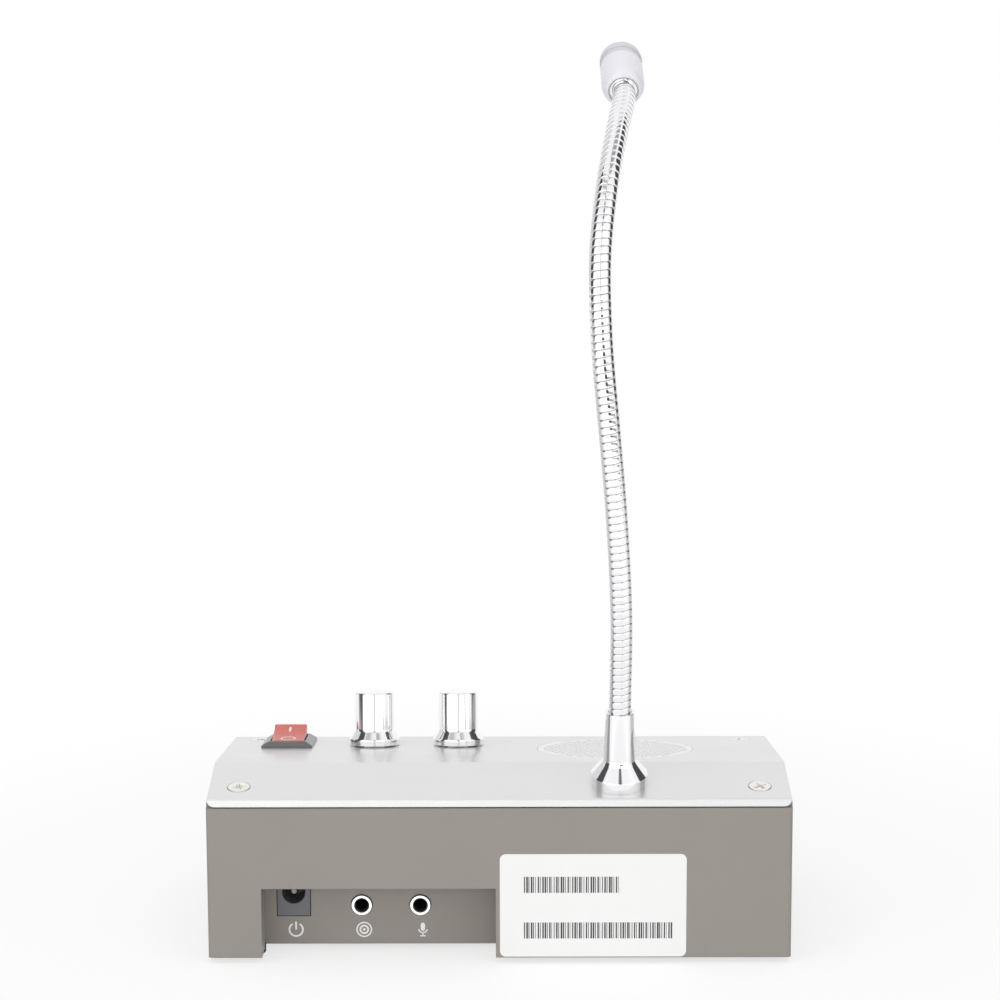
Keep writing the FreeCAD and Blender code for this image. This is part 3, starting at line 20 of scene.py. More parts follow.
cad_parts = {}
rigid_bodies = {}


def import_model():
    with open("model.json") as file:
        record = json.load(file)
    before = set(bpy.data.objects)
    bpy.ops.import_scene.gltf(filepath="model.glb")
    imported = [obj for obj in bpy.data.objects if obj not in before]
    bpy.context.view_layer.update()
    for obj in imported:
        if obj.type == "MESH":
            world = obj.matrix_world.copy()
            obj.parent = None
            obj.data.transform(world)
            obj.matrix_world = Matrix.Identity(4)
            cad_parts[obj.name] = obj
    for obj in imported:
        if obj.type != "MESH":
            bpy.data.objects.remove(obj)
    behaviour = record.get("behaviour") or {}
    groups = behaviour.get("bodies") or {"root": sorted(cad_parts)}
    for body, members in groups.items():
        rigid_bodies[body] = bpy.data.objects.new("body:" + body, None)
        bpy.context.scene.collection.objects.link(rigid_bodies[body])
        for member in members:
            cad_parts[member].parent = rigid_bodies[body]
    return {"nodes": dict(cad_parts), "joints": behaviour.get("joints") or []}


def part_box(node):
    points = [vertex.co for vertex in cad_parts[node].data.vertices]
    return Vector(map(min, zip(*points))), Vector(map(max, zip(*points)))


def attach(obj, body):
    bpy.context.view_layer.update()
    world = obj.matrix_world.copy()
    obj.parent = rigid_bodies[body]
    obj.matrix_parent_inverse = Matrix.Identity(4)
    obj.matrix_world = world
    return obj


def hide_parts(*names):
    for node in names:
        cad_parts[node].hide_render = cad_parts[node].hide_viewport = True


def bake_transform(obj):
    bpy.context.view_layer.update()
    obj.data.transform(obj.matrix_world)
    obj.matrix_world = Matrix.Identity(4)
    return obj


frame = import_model()
log = logging.getLogger("intercom")

MM = 0.001
#: Points nearer than WELD become one and edges shorter than SLIVER go; in metres.
WELD, SLIVER = 2e-7, 1e-8
Triple = tuple[float, float, float]
Socket = bpy.types.NodeSocket


# ---- surfaces ----

@dataclass(frozen=True)
class Place:
    """A local frame in the part's frame.

    Attributes:
        origin: where the local origin lies.
        axes: the three local axes, one to a row.
    """

    origin: np.ndarray
    axes: np.ndarray

    def out(self, points: np.ndarray) -> np.ndarray:
        """Points of the local frame in the part's frame: origin + x X + y Y + z Z."""
        return self.origin + points @ self.axes

    @classmethod
    def tipped(cls, origin: Sequence[float], degrees: float) -> "Place":
        """A frame turned about X, so that its Z leans to the rear for positive degrees."""
        c, s = math.cos(math.radians(degrees)), math.sin(math.radians(degrees))
        return cls(np.array(origin, float), np.array([[1, 0, 0], [0, c, s], [0, -s, c]], float))

    @classmethod
    def along(cls, origin: np.ndarray, direction: np.ndarray) -> "Place":
        """A frame whose Z runs along a direction and whose X stays as near to X as it can.

        Args:
            origin: where the frame's origin lies.
            direction: which way its Z runs, of any length.

        Returns:
            The frame.
        """
        z = direction / np.linalg.norm(direction)
        x = np.array([1.0, 0, 0]) - z[0] * z
        x /= np.linalg.norm(x)
        return cls(np.array(origin, float), np.array([x, np.cross(z, x), z]))


def rounded(corners: Sequence[Triple], steps: int = 8) -> np.ndarray:
    """A chain of straight runs with softened corners.

    Each corner c is cut back by its reach to points a and b on its two runs, and a
    parabola (1-t)^2 a + 2t(1-t) c + t^2 b joins them. The two ends stay as they are.

    Args:
        corners: first and second coordinate of each corner, and its reach.
        steps: points on each softened corner.

    Returns:
        The chain's points, one to a row.
    """
    table = np.array(corners, float)
    points, reach = table[:, :2], table[:, 2:3].copy()
    reach[[0, -1]] = 0
    before = np.vstack([points[:1], points[:-1]]) - points
    after = np.vstack([points[1:], points[-1:]]) - points
    start = points + reach * before / np.maximum(np.linalg.norm(before, axis=1, keepdims=True), 1e-9)
    end = points + reach * after / np.maximum(np.linalg.norm(after, axis=1, keepdims=True), 1e-9)
    t = np.linspace(0, 1, steps)[None, :, None]
    curve = (1 - t) ** 2 * start[:, None] + 2 * t * (1 - t) * points[:, None] + t ** 2 * end[:, None]
    return curve.reshape(-1, 2)


def turned(profile: np.ndarray, columns: int = 128) -> np.ndarray:
    """A turned surface: radius r and height z at angle a give (r cos a, r sin a, z).

    Args:
        profile: radius and height of each row.
        columns: steps round the axis.

    Returns:
        The grid of points, whose last column lies on its first.
    """
    angle = np.linspace(0, 2 * math.pi, columns + 1)[None]
    radius, height = profile[:, :1], profile[:, 1:]
    return np.stack([radius * np.cos(angle), radius * np.sin(angle), height + 0 * angle], axis=-1)


def closed(outline: np.ndarray) -> np.ndarray:
    """An outline with its first point repeated at its end."""
    return np.vstack([outline, outline[:1]])


def slab(outline: np.ndarray, low: float, high: float, edge: float, hub: Sequence[float],
         steps: int = 5) -> np.ndarray:
    """A plate with rounded rims: a closed outline carried straight from low to high.

    At angle a from 0 to 90 degrees the outline is drawn in along its own normals by
    edge (1 - sin a) while it stands edge (1 - cos a) inside the plate's side, and the
    rows of hub points close both sides.

    Args:
        outline: counter-clockwise points of the flat shape, without a repeated end.
        low: level of the first side.
        high: level of the second side.
        edge: radius of the rims.
        hub: a point inside the shape from which its whole outline is seen.
        steps: rows on each rim.

    Returns:
        The grid of points (first, second, level).
    """
    run = np.roll(outline, -1, axis=0) - np.roll(outline, 1, axis=0)
    normal = np.stack([run[:, 1], -run[:, 0]], axis=1)
    normal /= np.linalg.norm(normal, axis=1, keepdims=True)
    angle = np.linspace(0, math.pi / 2, steps)
    inset = edge * (1 - np.sin(angle))
    depth = edge * (1 - np.cos(angle))
    inset = np.concatenate([inset, inset[::-1]])
    level = np.concatenate([low + depth, high - depth[::-1]])
    flat = closed(outline)[None] - inset[:, None, None] * closed(normal)[None]
    body = np.concatenate([flat, np.broadcast_to(level[:, None, None], flat.shape[:2] + (1,))], axis=2)
    pole = np.broadcast_to(np.array([hub[0], hub[1], 0.0]), (1,) + body.shape[1:])
    return np.concatenate([pole + [0, 0, low], body, pole + [0, 0, high]])


def oval(half_w: float, half_h: float, count: int = 48, power: float = 2.0) -> np.ndarray:
    """Outline of an oval: |x/a|^p + |y/b|^p = 1, walked counter-clockwise.

    Args:
        half_w: half its width.
        half_h: half its height.
        count: points on it.
        power: 2 for an ellipse, more for a squarer shape.

    Returns:
        The points, without a repeated end.
    """
    angle = np.linspace(0, 2 * math.pi, count, endpoint=False)
    c, s = np.cos(angle), np.sin(angle)
    return np.stack([half_w * np.sign(c) * np.abs(c) ** (2 / power),
                     half_h * np.sign(s) * np.abs(s) ** (2 / power)], axis=1)


def stroke(path: np.ndarray, width: float, low: float, high: float) -> np.ndarray:
    """A printed line: a flat rectangle carried along a path, its ends closed.

    Each path point p with unit normal n gives the corners p + n w/2 and p - n w/2 at
    both levels.

    Args:
        path: points of the line in its plane.
        width: its width.
        low: level of its back.
        high: level of its face.

    Returns:
        The grid of points (first, second, level).
    """
    run = np.gradient(path, axis=0)
    normal = np.stack([run[:, 1], -run[:, 0]], axis=1)
    normal *= width / 2 / np.linalg.norm(normal, axis=1, keepdims=True)
    side = np.array([1, -1, -1, 1, 1])[None, :, None]
    level = np.broadcast_to(np.array([low, low, high, high, low])[None, :, None], (len(path), 5, 1))
    body = np.concatenate([path[:, None] + side * normal[:, None], level], axis=2)
    ends = body[[0, -1]].mean(axis=1, keepdims=True)
    return np.concatenate([np.repeat(ends[:1], 5, axis=1), body, np.repeat(ends[1:], 5, axis=1)])


def grid_uv(grid: np.ndarray) -> np.ndarray:
    """UV of a grid: u is the share of the way round, v the distance along its rows in mm.

    Args:
        grid: array of rows by columns by three coordinates.

    Returns:
        One pair (u, v) for each point.
    """
    step = np.linalg.norm(np.diff(grid, axis=0), axis=2).mean(axis=1)
    v = np.concatenate([[0], np.cumsum(step)])
    u = np.linspace(0, 1, grid.shape[1])
    return np.stack(np.meshgrid(u, v), axis=-1).reshape(-1, 2)


def piece(name: str, grids: Sequence[np.ndarray], finish: bpy.types.Material, crease: float = 38.0,
          marks: np.ndarray | None = None) -> bpy.types.Object:
    """One closed mesh, facing outwards, from grids of points in millimetres.

    Neighbouring points of a grid are joined by quads, and points that coincide at seams
    and poles are merged.

    Args:
        name: the piece's name.
        grids: arrays of rows by columns by three coordinates.
        finish: its material.
        crease: edges that turn by more than this many degrees stay sharp.
        marks: a value from 0 to 1 for each point, kept as the attribute "groove".

    Returns:
        The object, at the origin.
    """
    starts = np.cumsum([0] + [g.shape[0] * g.shape[1] for g in grids])
    faces = []
    for grid, start in zip(grids, starts):
        index = np.arange(grid.shape[0] * grid.shape[1]).reshape(grid.shape[:2]) + start
        quads = np.stack([index[:-1, :-1], index[:-1, 1:], index[1:, 1:], index[1:, :-1]], axis=-1)
        faces.append(quads.reshape(-1, 4))
    corners = np.concatenate(faces)
    points = np.concatenate([g.reshape(-1, 3) for g in grids]) * MM
    mesh = bpy.data.meshes.new(name)
    mesh.from_pydata(points.tolist(), [], corners.tolist())
    uv = np.concatenate([grid_uv(g) for g in grids])
    mesh.uv_layers.new(name="UVMap").data.foreach_set("uv", uv[corners.ravel()].ravel())
    if marks is not None:
        mesh.attributes.new("groove", "FLOAT", "POINT").data.foreach_set("value", marks.astype(np.float32))
    shell = bmesh.new()
    shell.from_mesh(mesh)
    bmesh.ops.remove_doubles(shell, verts=shell.verts, dist=WELD)
    bmesh.ops.dissolve_degenerate(shell, edges=shell.edges, dist=SLIVER)
    bmesh.ops.recalc_face_normals(shell, faces=shell.faces)
    shell.to_mesh(mesh)
    shell.free()
    mesh.shade_smooth()
    mesh.set_sharp_from_angle(angle=math.radians(crease))
    mesh.materials.append(finish)
    made = bpy.data.objects.new(name, mesh)
    bpy.context.scene.collection.objects.link(made)
    log.info("%s: %d faces", name, len(mesh.polygons))
    return made


# ---- finishes ----

class Graph:
    """The nodes of a material or of the world, with short calls for the kinds that they share."""

    def __init__(self, owner: bpy.types.Material | bpy.types.World, shader: str = "Principled BSDF") -> None:
        """Takes up an owner's nodes, with its main shader.

        Args:
            owner: a material or the world.
            shader: name of the node that makes its surface or its background.
        """
        owner.use_nodes = True
        self.nodes, self.links = owner.node_tree.nodes, owner.node_tree.links
        self.shader = self.nodes[shader]
        self.coordinates = self.nodes.new("ShaderNodeTexCoord").outputs

    def feed(self, target: Socket, source: object) -> None:
        """Links a socket to an input, or writes a constant on it; None leaves it as it is.

        Args:
            target: the input.
            source: a socket, a constant or None.
        """
        if isinstance(source, Socket):
            self.links.new(source, target)
        elif source is not None:
            target.default_value = source

    def put(self, name: str, source: object) -> None:
        """Feeds an input of the main shader."""
        self.feed(self.shader.inputs[name], source)

    def node(self, kind: str, inputs: dict[str | int, object], **settings: object) -> bpy.types.Node:
        """A new shader node with its properties set and its inputs fed.

        Args:
            kind: the node's type, without the word that all types start with.
            inputs: what feeds each input, by its name or its number.
            **settings: the node's own properties.

        Returns:
            The node.
        """
        made = self.nodes.new("ShaderNode" + kind)
        for key, value in settings.items():
            setattr(made, key, value)
        for key, source in inputs.items():
            self.feed(made.inputs[key], source)
        return made

    def math(self, operation: str, *sources: object) -> Socket:
        """The result of a Math node on sockets or numbers."""
        return self.node("Math", dict(enumerate(sources)), operation=operation).outputs[0]

    def mapped(self, size: float | Triple, source: Socket | None = None) -> Socket:
        """Coordinates counted in a size for each axis: millimetres, or a given source's own unit.

        Args:
            size: one for each axis, or one for all three.
            source: coordinates to map in place of Object coordinates.

        Returns:
            The mapped coordinates.
        """
        unit = 1.0 if source else MM
        scale = [1 / (s * unit) for s in np.broadcast_to(size, 3)]
        inputs = {"Vector": source or self.coordinates["Object"], "Scale": scale}
        return self.node("Mapping", inputs).outputs[0]

    def noise(self, size: float | Triple, detail: float = 2.0, source: Socket | None = None) -> Socket:
        """Soft noise with features of a size, as `mapped` counts it."""
        inputs = {"Vector": self.mapped(size, source), "Scale": 1.0, "Detail": detail}
        return self.node("TexNoise", inputs).outputs["Fac"]

    def spread(self, value: Socket, low: float, high: float, start: float = 0.3, end: float = 0.7,
               way: str = "LINEAR") -> Socket:
        """A value between start and end, carried to between low and high."""
        inputs = {"Value": value, "From Min": start, "From Max": end, "To Min": low, "To Max": high}
        return self.node("MapRange", inputs, interpolation_type=way).outputs["Result"]

    def blend(self, factor: Socket, first: object, second: object) -> Socket:
        """A colour between two colours; a Mix node's colour sockets are inputs 6 and 7 and output 2."""
        return self.node("Mix", {0: factor, 6: first, 7: second}, data_type="RGBA").outputs[2]

    def bump(self, height: Socket, depth: float, normal: Socket | None = None) -> Socket:
        """A normal from a height whose full range is a depth in millimetres."""
        return self.node("Bump", {"Distance": depth * MM, "Height": height, "Normal": normal}).outputs[0]

    def soft_edges(self, radius: float) -> Socket:
        """A normal that rolls over hard edges within a radius in millimetres."""
        return self.node("Bevel", {"Radius": radius * MM}, samples=6).outputs[0]


def tone(red: int, green: int, blue: int, share: float = 1.0) -> tuple[float, float, float, float]:
    """A display colour of 0 to 255 as a linear one, dimmed to a share.

    Args:
        red: red from 0 to 255.
        green: green from 0 to 255.
        blue: blue from 0 to 255.
        share: what the linear colour is multiplied by.

    Returns:
        Linear red, green and blue, and full alpha.
    """
    values = np.array([red, green, blue]) / 255
    linear = np.where(values > 0.04045, ((values + 0.055) / 1.055) ** 2.4, values / 12.92) * share
    return (float(linear[0]), float(linear[1]), float(linear[2]), 1.0)


@dataclass(frozen=True)
class Finish(ABC):
    """A surface finish, made once as a material.

    Attributes:
        colour: display colour, 0 to 255.
        roughness: of the plain surface.
        edge: radius over which the shading rolls over hard edges, 0 for none.
    """

    colour: tuple[int, int, int]
    roughness: float = 0.45
    edge: float = 0.25

    def make(self, name: str) -> bpy.types.Material:
        """The finish as a material of a given name.

        Args:
            name: the material's name.

        Returns:
            The material.
        """
        material = bpy.data.materials.new(name)
        graph = Graph(material)
        graph.put("Roughness", self.roughness)
        graph.put("Normal", self.dress(graph, graph.soft_edges(self.edge) if self.edge else None))
        return material

    @abstractmethod
    def dress(self, graph: Graph, normal: Socket | None) -> Socket:
        """Adds the finish's colour and texture.

        Args:
            graph: the material's nodes.
            normal: the normal that the texture's bumps start from.

        Returns:
            The normal with the bumps.
        """

    def shade(self, share: float) -> tuple[float, float, float, float]:
        """The finish's colour, dimmed or lifted."""
        return tone(*self.colour, share=share)


@dataclass(frozen=True)
class Moulded(Finish):
    """Moulded plastic: a fine spark-eroded grain, a faint flow mottle and soft edges.

    Attributes:
        grain: size of the grain.
        depth: depth of the grain.
        mottle: how much the colour wanders over the piece.
        glow: share of light that scatters inside it.
        cloud: size of the mottle's clouds.
        gloss: how much the grain changes the roughness.
        seep: how far scattered light travels, and its share of that in red, green and blue.
    """

    grain: float = 0.35
    depth: float = 0.02
    mottle: float = 0.03
    glow: float = 0.0
    cloud: float = 22.0
    gloss: float = 0.06
    seep: tuple[float, Triple] = (0.8, (1.0, 0.25, 0.18))

    def dress(self, graph: Graph, normal: Socket | None) -> Socket:
        """Adds grain, mottle and small changes of gloss.

        Args:
            graph: the material's nodes.
            normal: the normal that the texture's bumps start from.

        Returns:
            The normal with the bumps.
        """
        fine = graph.noise(self.grain)
        factor = graph.math("MULTIPLY_ADD", fine, 0.35, graph.noise(self.cloud, 3.0))
        level = graph.spread(factor, 0.0, 1.0, 0.45, 0.9)
        graph.put("Base Color", graph.blend(level, self.shade(1 - self.mottle), self.shade(1 + self.mottle)))
        graph.put("Roughness", graph.spread(fine, self.roughness - self.gloss, self.roughness + self.gloss))
        if self.glow:
            graph.put("Subsurface Weight", self.glow)
            graph.put("Subsurface Scale", self.seep[0] * MM)
            graph.put("Subsurface Radius", self.seep[1])
        return graph.bump(fine, self.depth, normal)


class Lay(Enum):
    """Which way the marks of a metal's finish run."""

    ALONG_X = auto()
    ROUND = auto()
    NONE = auto()


@dataclass(frozen=True)
class Metal(Finish):
    """Bare or plated metal with the fine marks of how it was finished.

    Attributes:
        lay: which way the marks run.
        marks: depth of the marks.
        streak: how much the marks change the colour.
        coat: weight of a clear lacquer or film.
        bare: share of the light that the bare metal mirrors; the rest scatters in its film.
        groove: darkens the grooves of a wound strip.
        haze: size of the clouds of handling haze.
        uneven: share by which marks and haze change the roughness.
        coat_roughness: of the lacquer or film.
    """

    lay: Lay = Lay.NONE
    marks: float = 0.002
    streak: float = 0.04
    coat: float = 0.0
    bare: float = 1.0
    # groove: how dark the painted shade in the grooves of a wound strip grows.
    groove: float = 0.0
    haze: float = 16.0
    uneven: float = 0.15
    coat_roughness: float = 0.06

    def lines(self, graph: Graph) -> Socket:
        """The marks as a height from 0 to 1.

        Args:
            graph: the material's nodes.

        Returns:
            The height.
        """
        if self.lay is Lay.ALONG_X:
            return graph.noise((14.0, 0.16, 0.16), 4.0)
        if self.lay is Lay.ROUND:
            return graph.noise((6.0, 0.12, 1.0), 3.0, graph.coordinates["UV"])
        return graph.noise(1.6, 6.0)

    def dress(self, graph: Graph, normal: Socket | None) -> Socket:
        """Adds the marks to colour, roughness and normal, handling haze, and painted shade in the grooves.

        Args:
            graph: the material's nodes.
            normal: the normal that the texture's bumps start from.

        Returns:
            The normal with the bumps.
        """
        graph.put("Metallic", self.bare)
        lines = self.lines(graph)
        colour = graph.blend(graph.spread(lines, 0.0, 1.0), self.shade(1 - self.streak), self.shade(1.0))
        if self.groove:
            # Painted shade: the colour darkens towards near black where the strip dips into its grooves.
            groove = graph.node("Attribute", {}, attribute_name="groove").outputs["Fac"]
            groove_shade = graph.spread(groove, 0.0, self.groove, 0.45, 1.0)
            colour = graph.blend(groove_shade, colour, self.shade(0.03))
        graph.put("Base Color", colour)
        mixed = graph.math("MULTIPLY_ADD", lines, 0.5, graph.noise(self.haze, 3.0))
        low, high = self.roughness * (1 - self.uneven), self.roughness * (1 + self.uneven)
        graph.put("Roughness", graph.spread(mixed, low, high, 0.5, 1.0))
        if self.coat:
            graph.put("Coat Weight", self.coat)
            graph.put("Coat Roughness", self.coat_roughness)
        return graph.bump(lines, self.marks, normal)


@dataclass(frozen=True)
class Fibrous(Finish):
    """Paper, cloth or foam: small fibres or cells that catch the light.

    Attributes:
        cell: size of the fibres or cells.
        depth: how deep they stand.
        contrast: how much they change the colour.
        sheen: weight of the soft sheen at grazing angles.
        cloud: size of the slower clouds.
    """

    cell: float = 0.2
    depth: float = 0.03
    contrast: float = 0.1
    sheen: float = 0.15
    cloud: float = 6.0

    def dress(self, graph: Graph, normal: Socket | None) -> Socket:
        """Adds cells, a slower cloud and a soft sheen.

        Args:
            graph: the material's nodes.
            normal: the normal that the texture's bumps start from.

        Returns:
            The normal with the bumps.
        """
        inputs = {"Vector": graph.mapped(self.cell), "Scale": 1.0}
        cells = graph.node("TexVoronoi", inputs, feature="F1").outputs["Distance"]
        factor = graph.math("MULTIPLY", cells, graph.noise(self.cloud, 4.0))
        level = graph.spread(factor, 0.0, 1.0, 0.05, 0.45)
        graph.put("Base Color", graph.blend(level, self.shade(1.0), self.shade(1 - self.contrast)))
        graph.put("Sheen Weight", self.sheen)
        return graph.bump(cells, self.depth, normal)


@dataclass(frozen=True)
class BoardLaminate(Finish):
    """Circuit board: solder mask over copper tracks.

    Attributes:
        pitch: distance between tracks.
        gap: width of the gaps between tracks, in pitches.
        run: length of a track, in pitches.
        step: height of a track.
    """

    pitch: float = 1.9
    gap: float = 0.16
    run: float = 5.0
    step: float = 0.03

    def dress(self, graph: Graph, normal: Socket | None) -> Socket:
        """Adds the tracks as paler, raised bands of the mask.

        Args:
            graph: the material's nodes.
            normal: the normal that the texture's bumps start from.

        Returns:
            The normal with the bumps.
        """
        inputs = {"Vector": graph.mapped(self.pitch), "Scale": 1.0, "Mortar Size": self.gap,
                  "Brick Width": self.run, "Row Height": 1.0}
        gaps = graph.node("TexBrick", inputs, offset=0.37, offset_frequency=3).outputs["Fac"]
        weave = graph.spread(graph.noise(0.5), 0.0, 1.0)
        mask = graph.blend(weave, self.shade(0.9), self.shade(1.1))
        graph.put("Base Color", graph.blend(gaps, self.shade(1.7), mask))
        return graph.bump(gaps, -self.step, normal)


class Slot(Enum):
    """The part's material slots, each with its finish."""

    CASE_GREY = Moulded((152, 146, 140), 0.55, 0.35, grain=0.45, depth=0.012, mottle=0.02)
    COVER_ALUMINIUM = Metal((231, 231, 231), 0.34, 0.25, Lay.ALONG_X, 0.0010, 0.03, coat=0.2, bare=0.55)
    SCREW_STEEL = Metal((244, 242, 236), 0.24, 0.12, streak=0.1)
    FOOT_RUBBER = Moulded((38, 38, 40), 0.75, 0.5, grain=0.25, depth=0.03, mottle=0.08)
    LABEL_WHITE = Fibrous((251, 251, 250), 0.5, 0.0, cell=0.12, depth=0.004, contrast=0.02)
    BOARD_GREEN = BoardLaminate((26, 92, 58), 0.35, 0.1)
    SOCKET_BLACK = Moulded((52, 54, 56), 0.42, 0.2, grain=0.2, depth=0.008)
    INLET_GREY = Moulded((112, 112, 117), 0.4, 0.15, grain=0.2, depth=0.008)
    CHIP_BLACK = Moulded((34, 34, 36), 0.6, 0.1, grain=0.1, depth=0.008)
    SINK_BLACK = Metal((58, 58, 60), 0.5, 0.1, Lay.ALONG_X, 0.006, 0.1)
    CAN_BLUE = Moulded((34, 52, 104), 0.35, 0.3, grain=0.6, depth=0.004)
    HEADER_WHITE = Moulded((228, 224, 212), 0.45, 0.12, grain=0.2, depth=0.006, glow=0.1)
    ROCKER_RED = Moulded((216, 106, 97), 0.3, 0.15, grain=0.3, depth=0.003, mottle=0.04, glow=0.25)
    CONTACT_BRASS = Metal((212, 176, 104), 0.28, 0.08, streak=0.08)
    SPRING_STEEL = Metal((190, 190, 194), 0.25, 0.0, streak=0.1)
    CONTROL_STEEL = Metal((184, 186, 190), 0.32, 0.15, streak=0.08)
    INSERT_BLACK = Moulded((40, 40, 42), 0.5, 0.1, grain=0.2, depth=0.008)
    KNOB_ALUMINIUM = Metal((247, 247, 248), 0.11, 0.0, Lay.ROUND, 0.0006, 0.03)
    GRILLE_SILVER = Metal((248, 248, 248), 0.34, 0.06, streak=0.03, bare=0.55)
    FOAM_BLACK = Fibrous((44, 44, 46), 0.9, 0.0, cell=0.5, depth=0.2, contrast=0.5)
    BASKET_STEEL = Metal((168, 172, 172), 0.36, 0.15, streak=0.1)
    MAGNET_FERRITE = Moulded((58, 58, 60), 0.6, 0.4, grain=0.5, depth=0.03, mottle=0.1)
    COIL_COPPER = Metal((208, 128, 84), 0.3, 0.0, streak=0.15)
    CONE_PAPER = Fibrous((112, 110, 108), 0.85, 0.0, cell=0.5, depth=0.05, contrast=0.3)
    SURROUND_CLOTH = Fibrous((50, 50, 52), 0.85, 0.0, cell=0.35, depth=0.06, contrast=0.4)
    # The neck's chrome carries painted shade in its grooves, set by groove.
    NECK_CHROME = Metal((243, 243, 245), 0.07, 0.0, streak=0.02, marks=0.0006, groove=0.6)
    MIC_PEARL = Moulded((235, 235, 241), 0.3, 0.2, grain=0.12, depth=0.004, mottle=0.015)
    CAPSULE_METAL = Metal((190, 190, 192), 0.35, 0.1, streak=0.08)
    LEAD_GREY = Moulded((120, 120, 122), 0.5, 0.0, grain=0.6, depth=0.01)

    @property
    def label(self) -> str:
        """The slot's name in the record."""
        return self.name.lower()


#: : Finishes of nodes whose surface differs from the rest of their slot, and of the microphone cap, whose
#: darker pearl is painted shade.
OWN_FINISHES: dict[str, Finish] = {
    "switch_housing": Moulded((104, 104, 106), 0.26, 0.2, grain=0.2, depth=0.008),
    # The microphone cap: the shell's pearl painted darker, as painted shade.
    "mic_cap": Moulded((214, 214, 222), 0.3, 0.2, grain=0.12, depth=0.004, mottle=0.015),
    "dc_inlet_pin": Metal((128, 126, 122), 0.4, 0.05, streak=0.06),
    "jack_rings": Metal((247, 247, 246), 0.16, 0.12, streak=0.03),
}


class Paintbox:
    """Makes each material once, and lays the slots' materials on the carried-over nodes."""

    def __init__(self) -> None:
        """Starts with no materials made."""
        self.made: dict[str, bpy.types.Material] = {}

    def of(self, slot: Slot) -> bpy.types.Material:
        """The material of a slot."""
        return self.extra(slot.label + "_finish", slot.value)

    def extra(self, name: str, finish: Finish) -> bpy.types.Material:
        """A material by name, made at its first use.

        Args:
            name: the material's name.
            finish: what it is made from.

        Returns:
            The material.
        """
        if name not in self.made:
            self.made[name] = finish.make(name)
        return self.made[name]

    def dress_nodes(self) -> None:
        """Lays the slots' materials on every carried-over node."""
        for name, node in frame["nodes"].items():
            slots, own = node.data.materials, OWN_FINISHES.get(name)
            finish = self.extra(name + "_finish", own) if own else self.of(Slot[slots[0].name.upper()])
            slots.clear()
            slots.append(finish)
            log.info("%s: %s", name, finish.name)


# ---- the case as drawn ----

@dataclass(frozen=True)
class CaseOutline:
    """The case's sizes, and the frames on its two sloping faces."""

    width: float = 158.0
    depth: float = 82.0
    foot: float = 1.6
    inset: float = 0.35
    rear_edge: float = 44.2
    front_edge: float = 41.1
    ridge_setback: float = 22.8
    rear_slope: float = 11.0

    @property
    def ridge(self) -> float:
        """Height of the ridge."""
        return self.rear_edge + (self.ridge_setback - self.inset) * math.tan(math.radians(self.rear_slope))

    @property
    def panel_slope(self) -> float:
        """Fall of the control panel towards the teller, in degrees."""
        run = self.depth - self.inset - self.ridge_setback
        return math.degrees(math.atan2(self.ridge - self.front_edge, run))

    def at(self, x: float, setback: float, height: float) -> np.ndarray:
        """A point by X, setback from the rear face and height above the case's underside."""
        return np.array([x, setback - self.depth / 2, self.foot + height])

    def on_slope(self, x: float, setback: float) -> Place:
        """Frame on the rear slope."""
        height = self.rear_edge + (setback - self.inset) * math.tan(math.radians(self.rear_slope))
        return Place.tipped(self.at(x, setback, height), self.rear_slope)

    def on_panel(self, x: float, setback: float) -> Place:
        """Frame on the control panel."""
        fall = (setback - self.ridge_setback) * math.tan(math.radians(self.panel_slope))
        return Place.tipped(self.at(x, setback, self.ridge - fall), -self.panel_slope)


CASE = CaseOutline()


class SubAssembly(ABC):
    """A group of pieces that is made and dressed together."""

    @abstractmethod
    def build(self, paint: Paintbox) -> None:
        """Makes the pieces and ties them to their bodies."""

    @staticmethod
    def keep(made: bpy.types.Object, body: str, slot: Slot, *nodes: str) -> None:
        """Lets a piece ride on a body and hides the nodes it stands for.

        Args:
            made: the piece.
            body: name of the body that it moves with.
            slot: not used.
            *nodes: names of the nodes that it stands for.
        """
        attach(made, body)
        if nodes:
            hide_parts(*nodes)


class TurnedPart(SubAssembly):
    """A group that is one turned piece."""

    @abstractmethod
    def profile(self) -> np.ndarray:
        """Half section of the piece: radius and height of each point."""

    def turn(self, name: str, place: Place, finish: bpy.types.Material, *tie: str | Slot) -> None:
        """Makes the piece at a place, ties it to its body and hides the node it stands for."""
        self.keep(piece(name, [place.out(turned(self.profile()))], finish, 40), *tie)


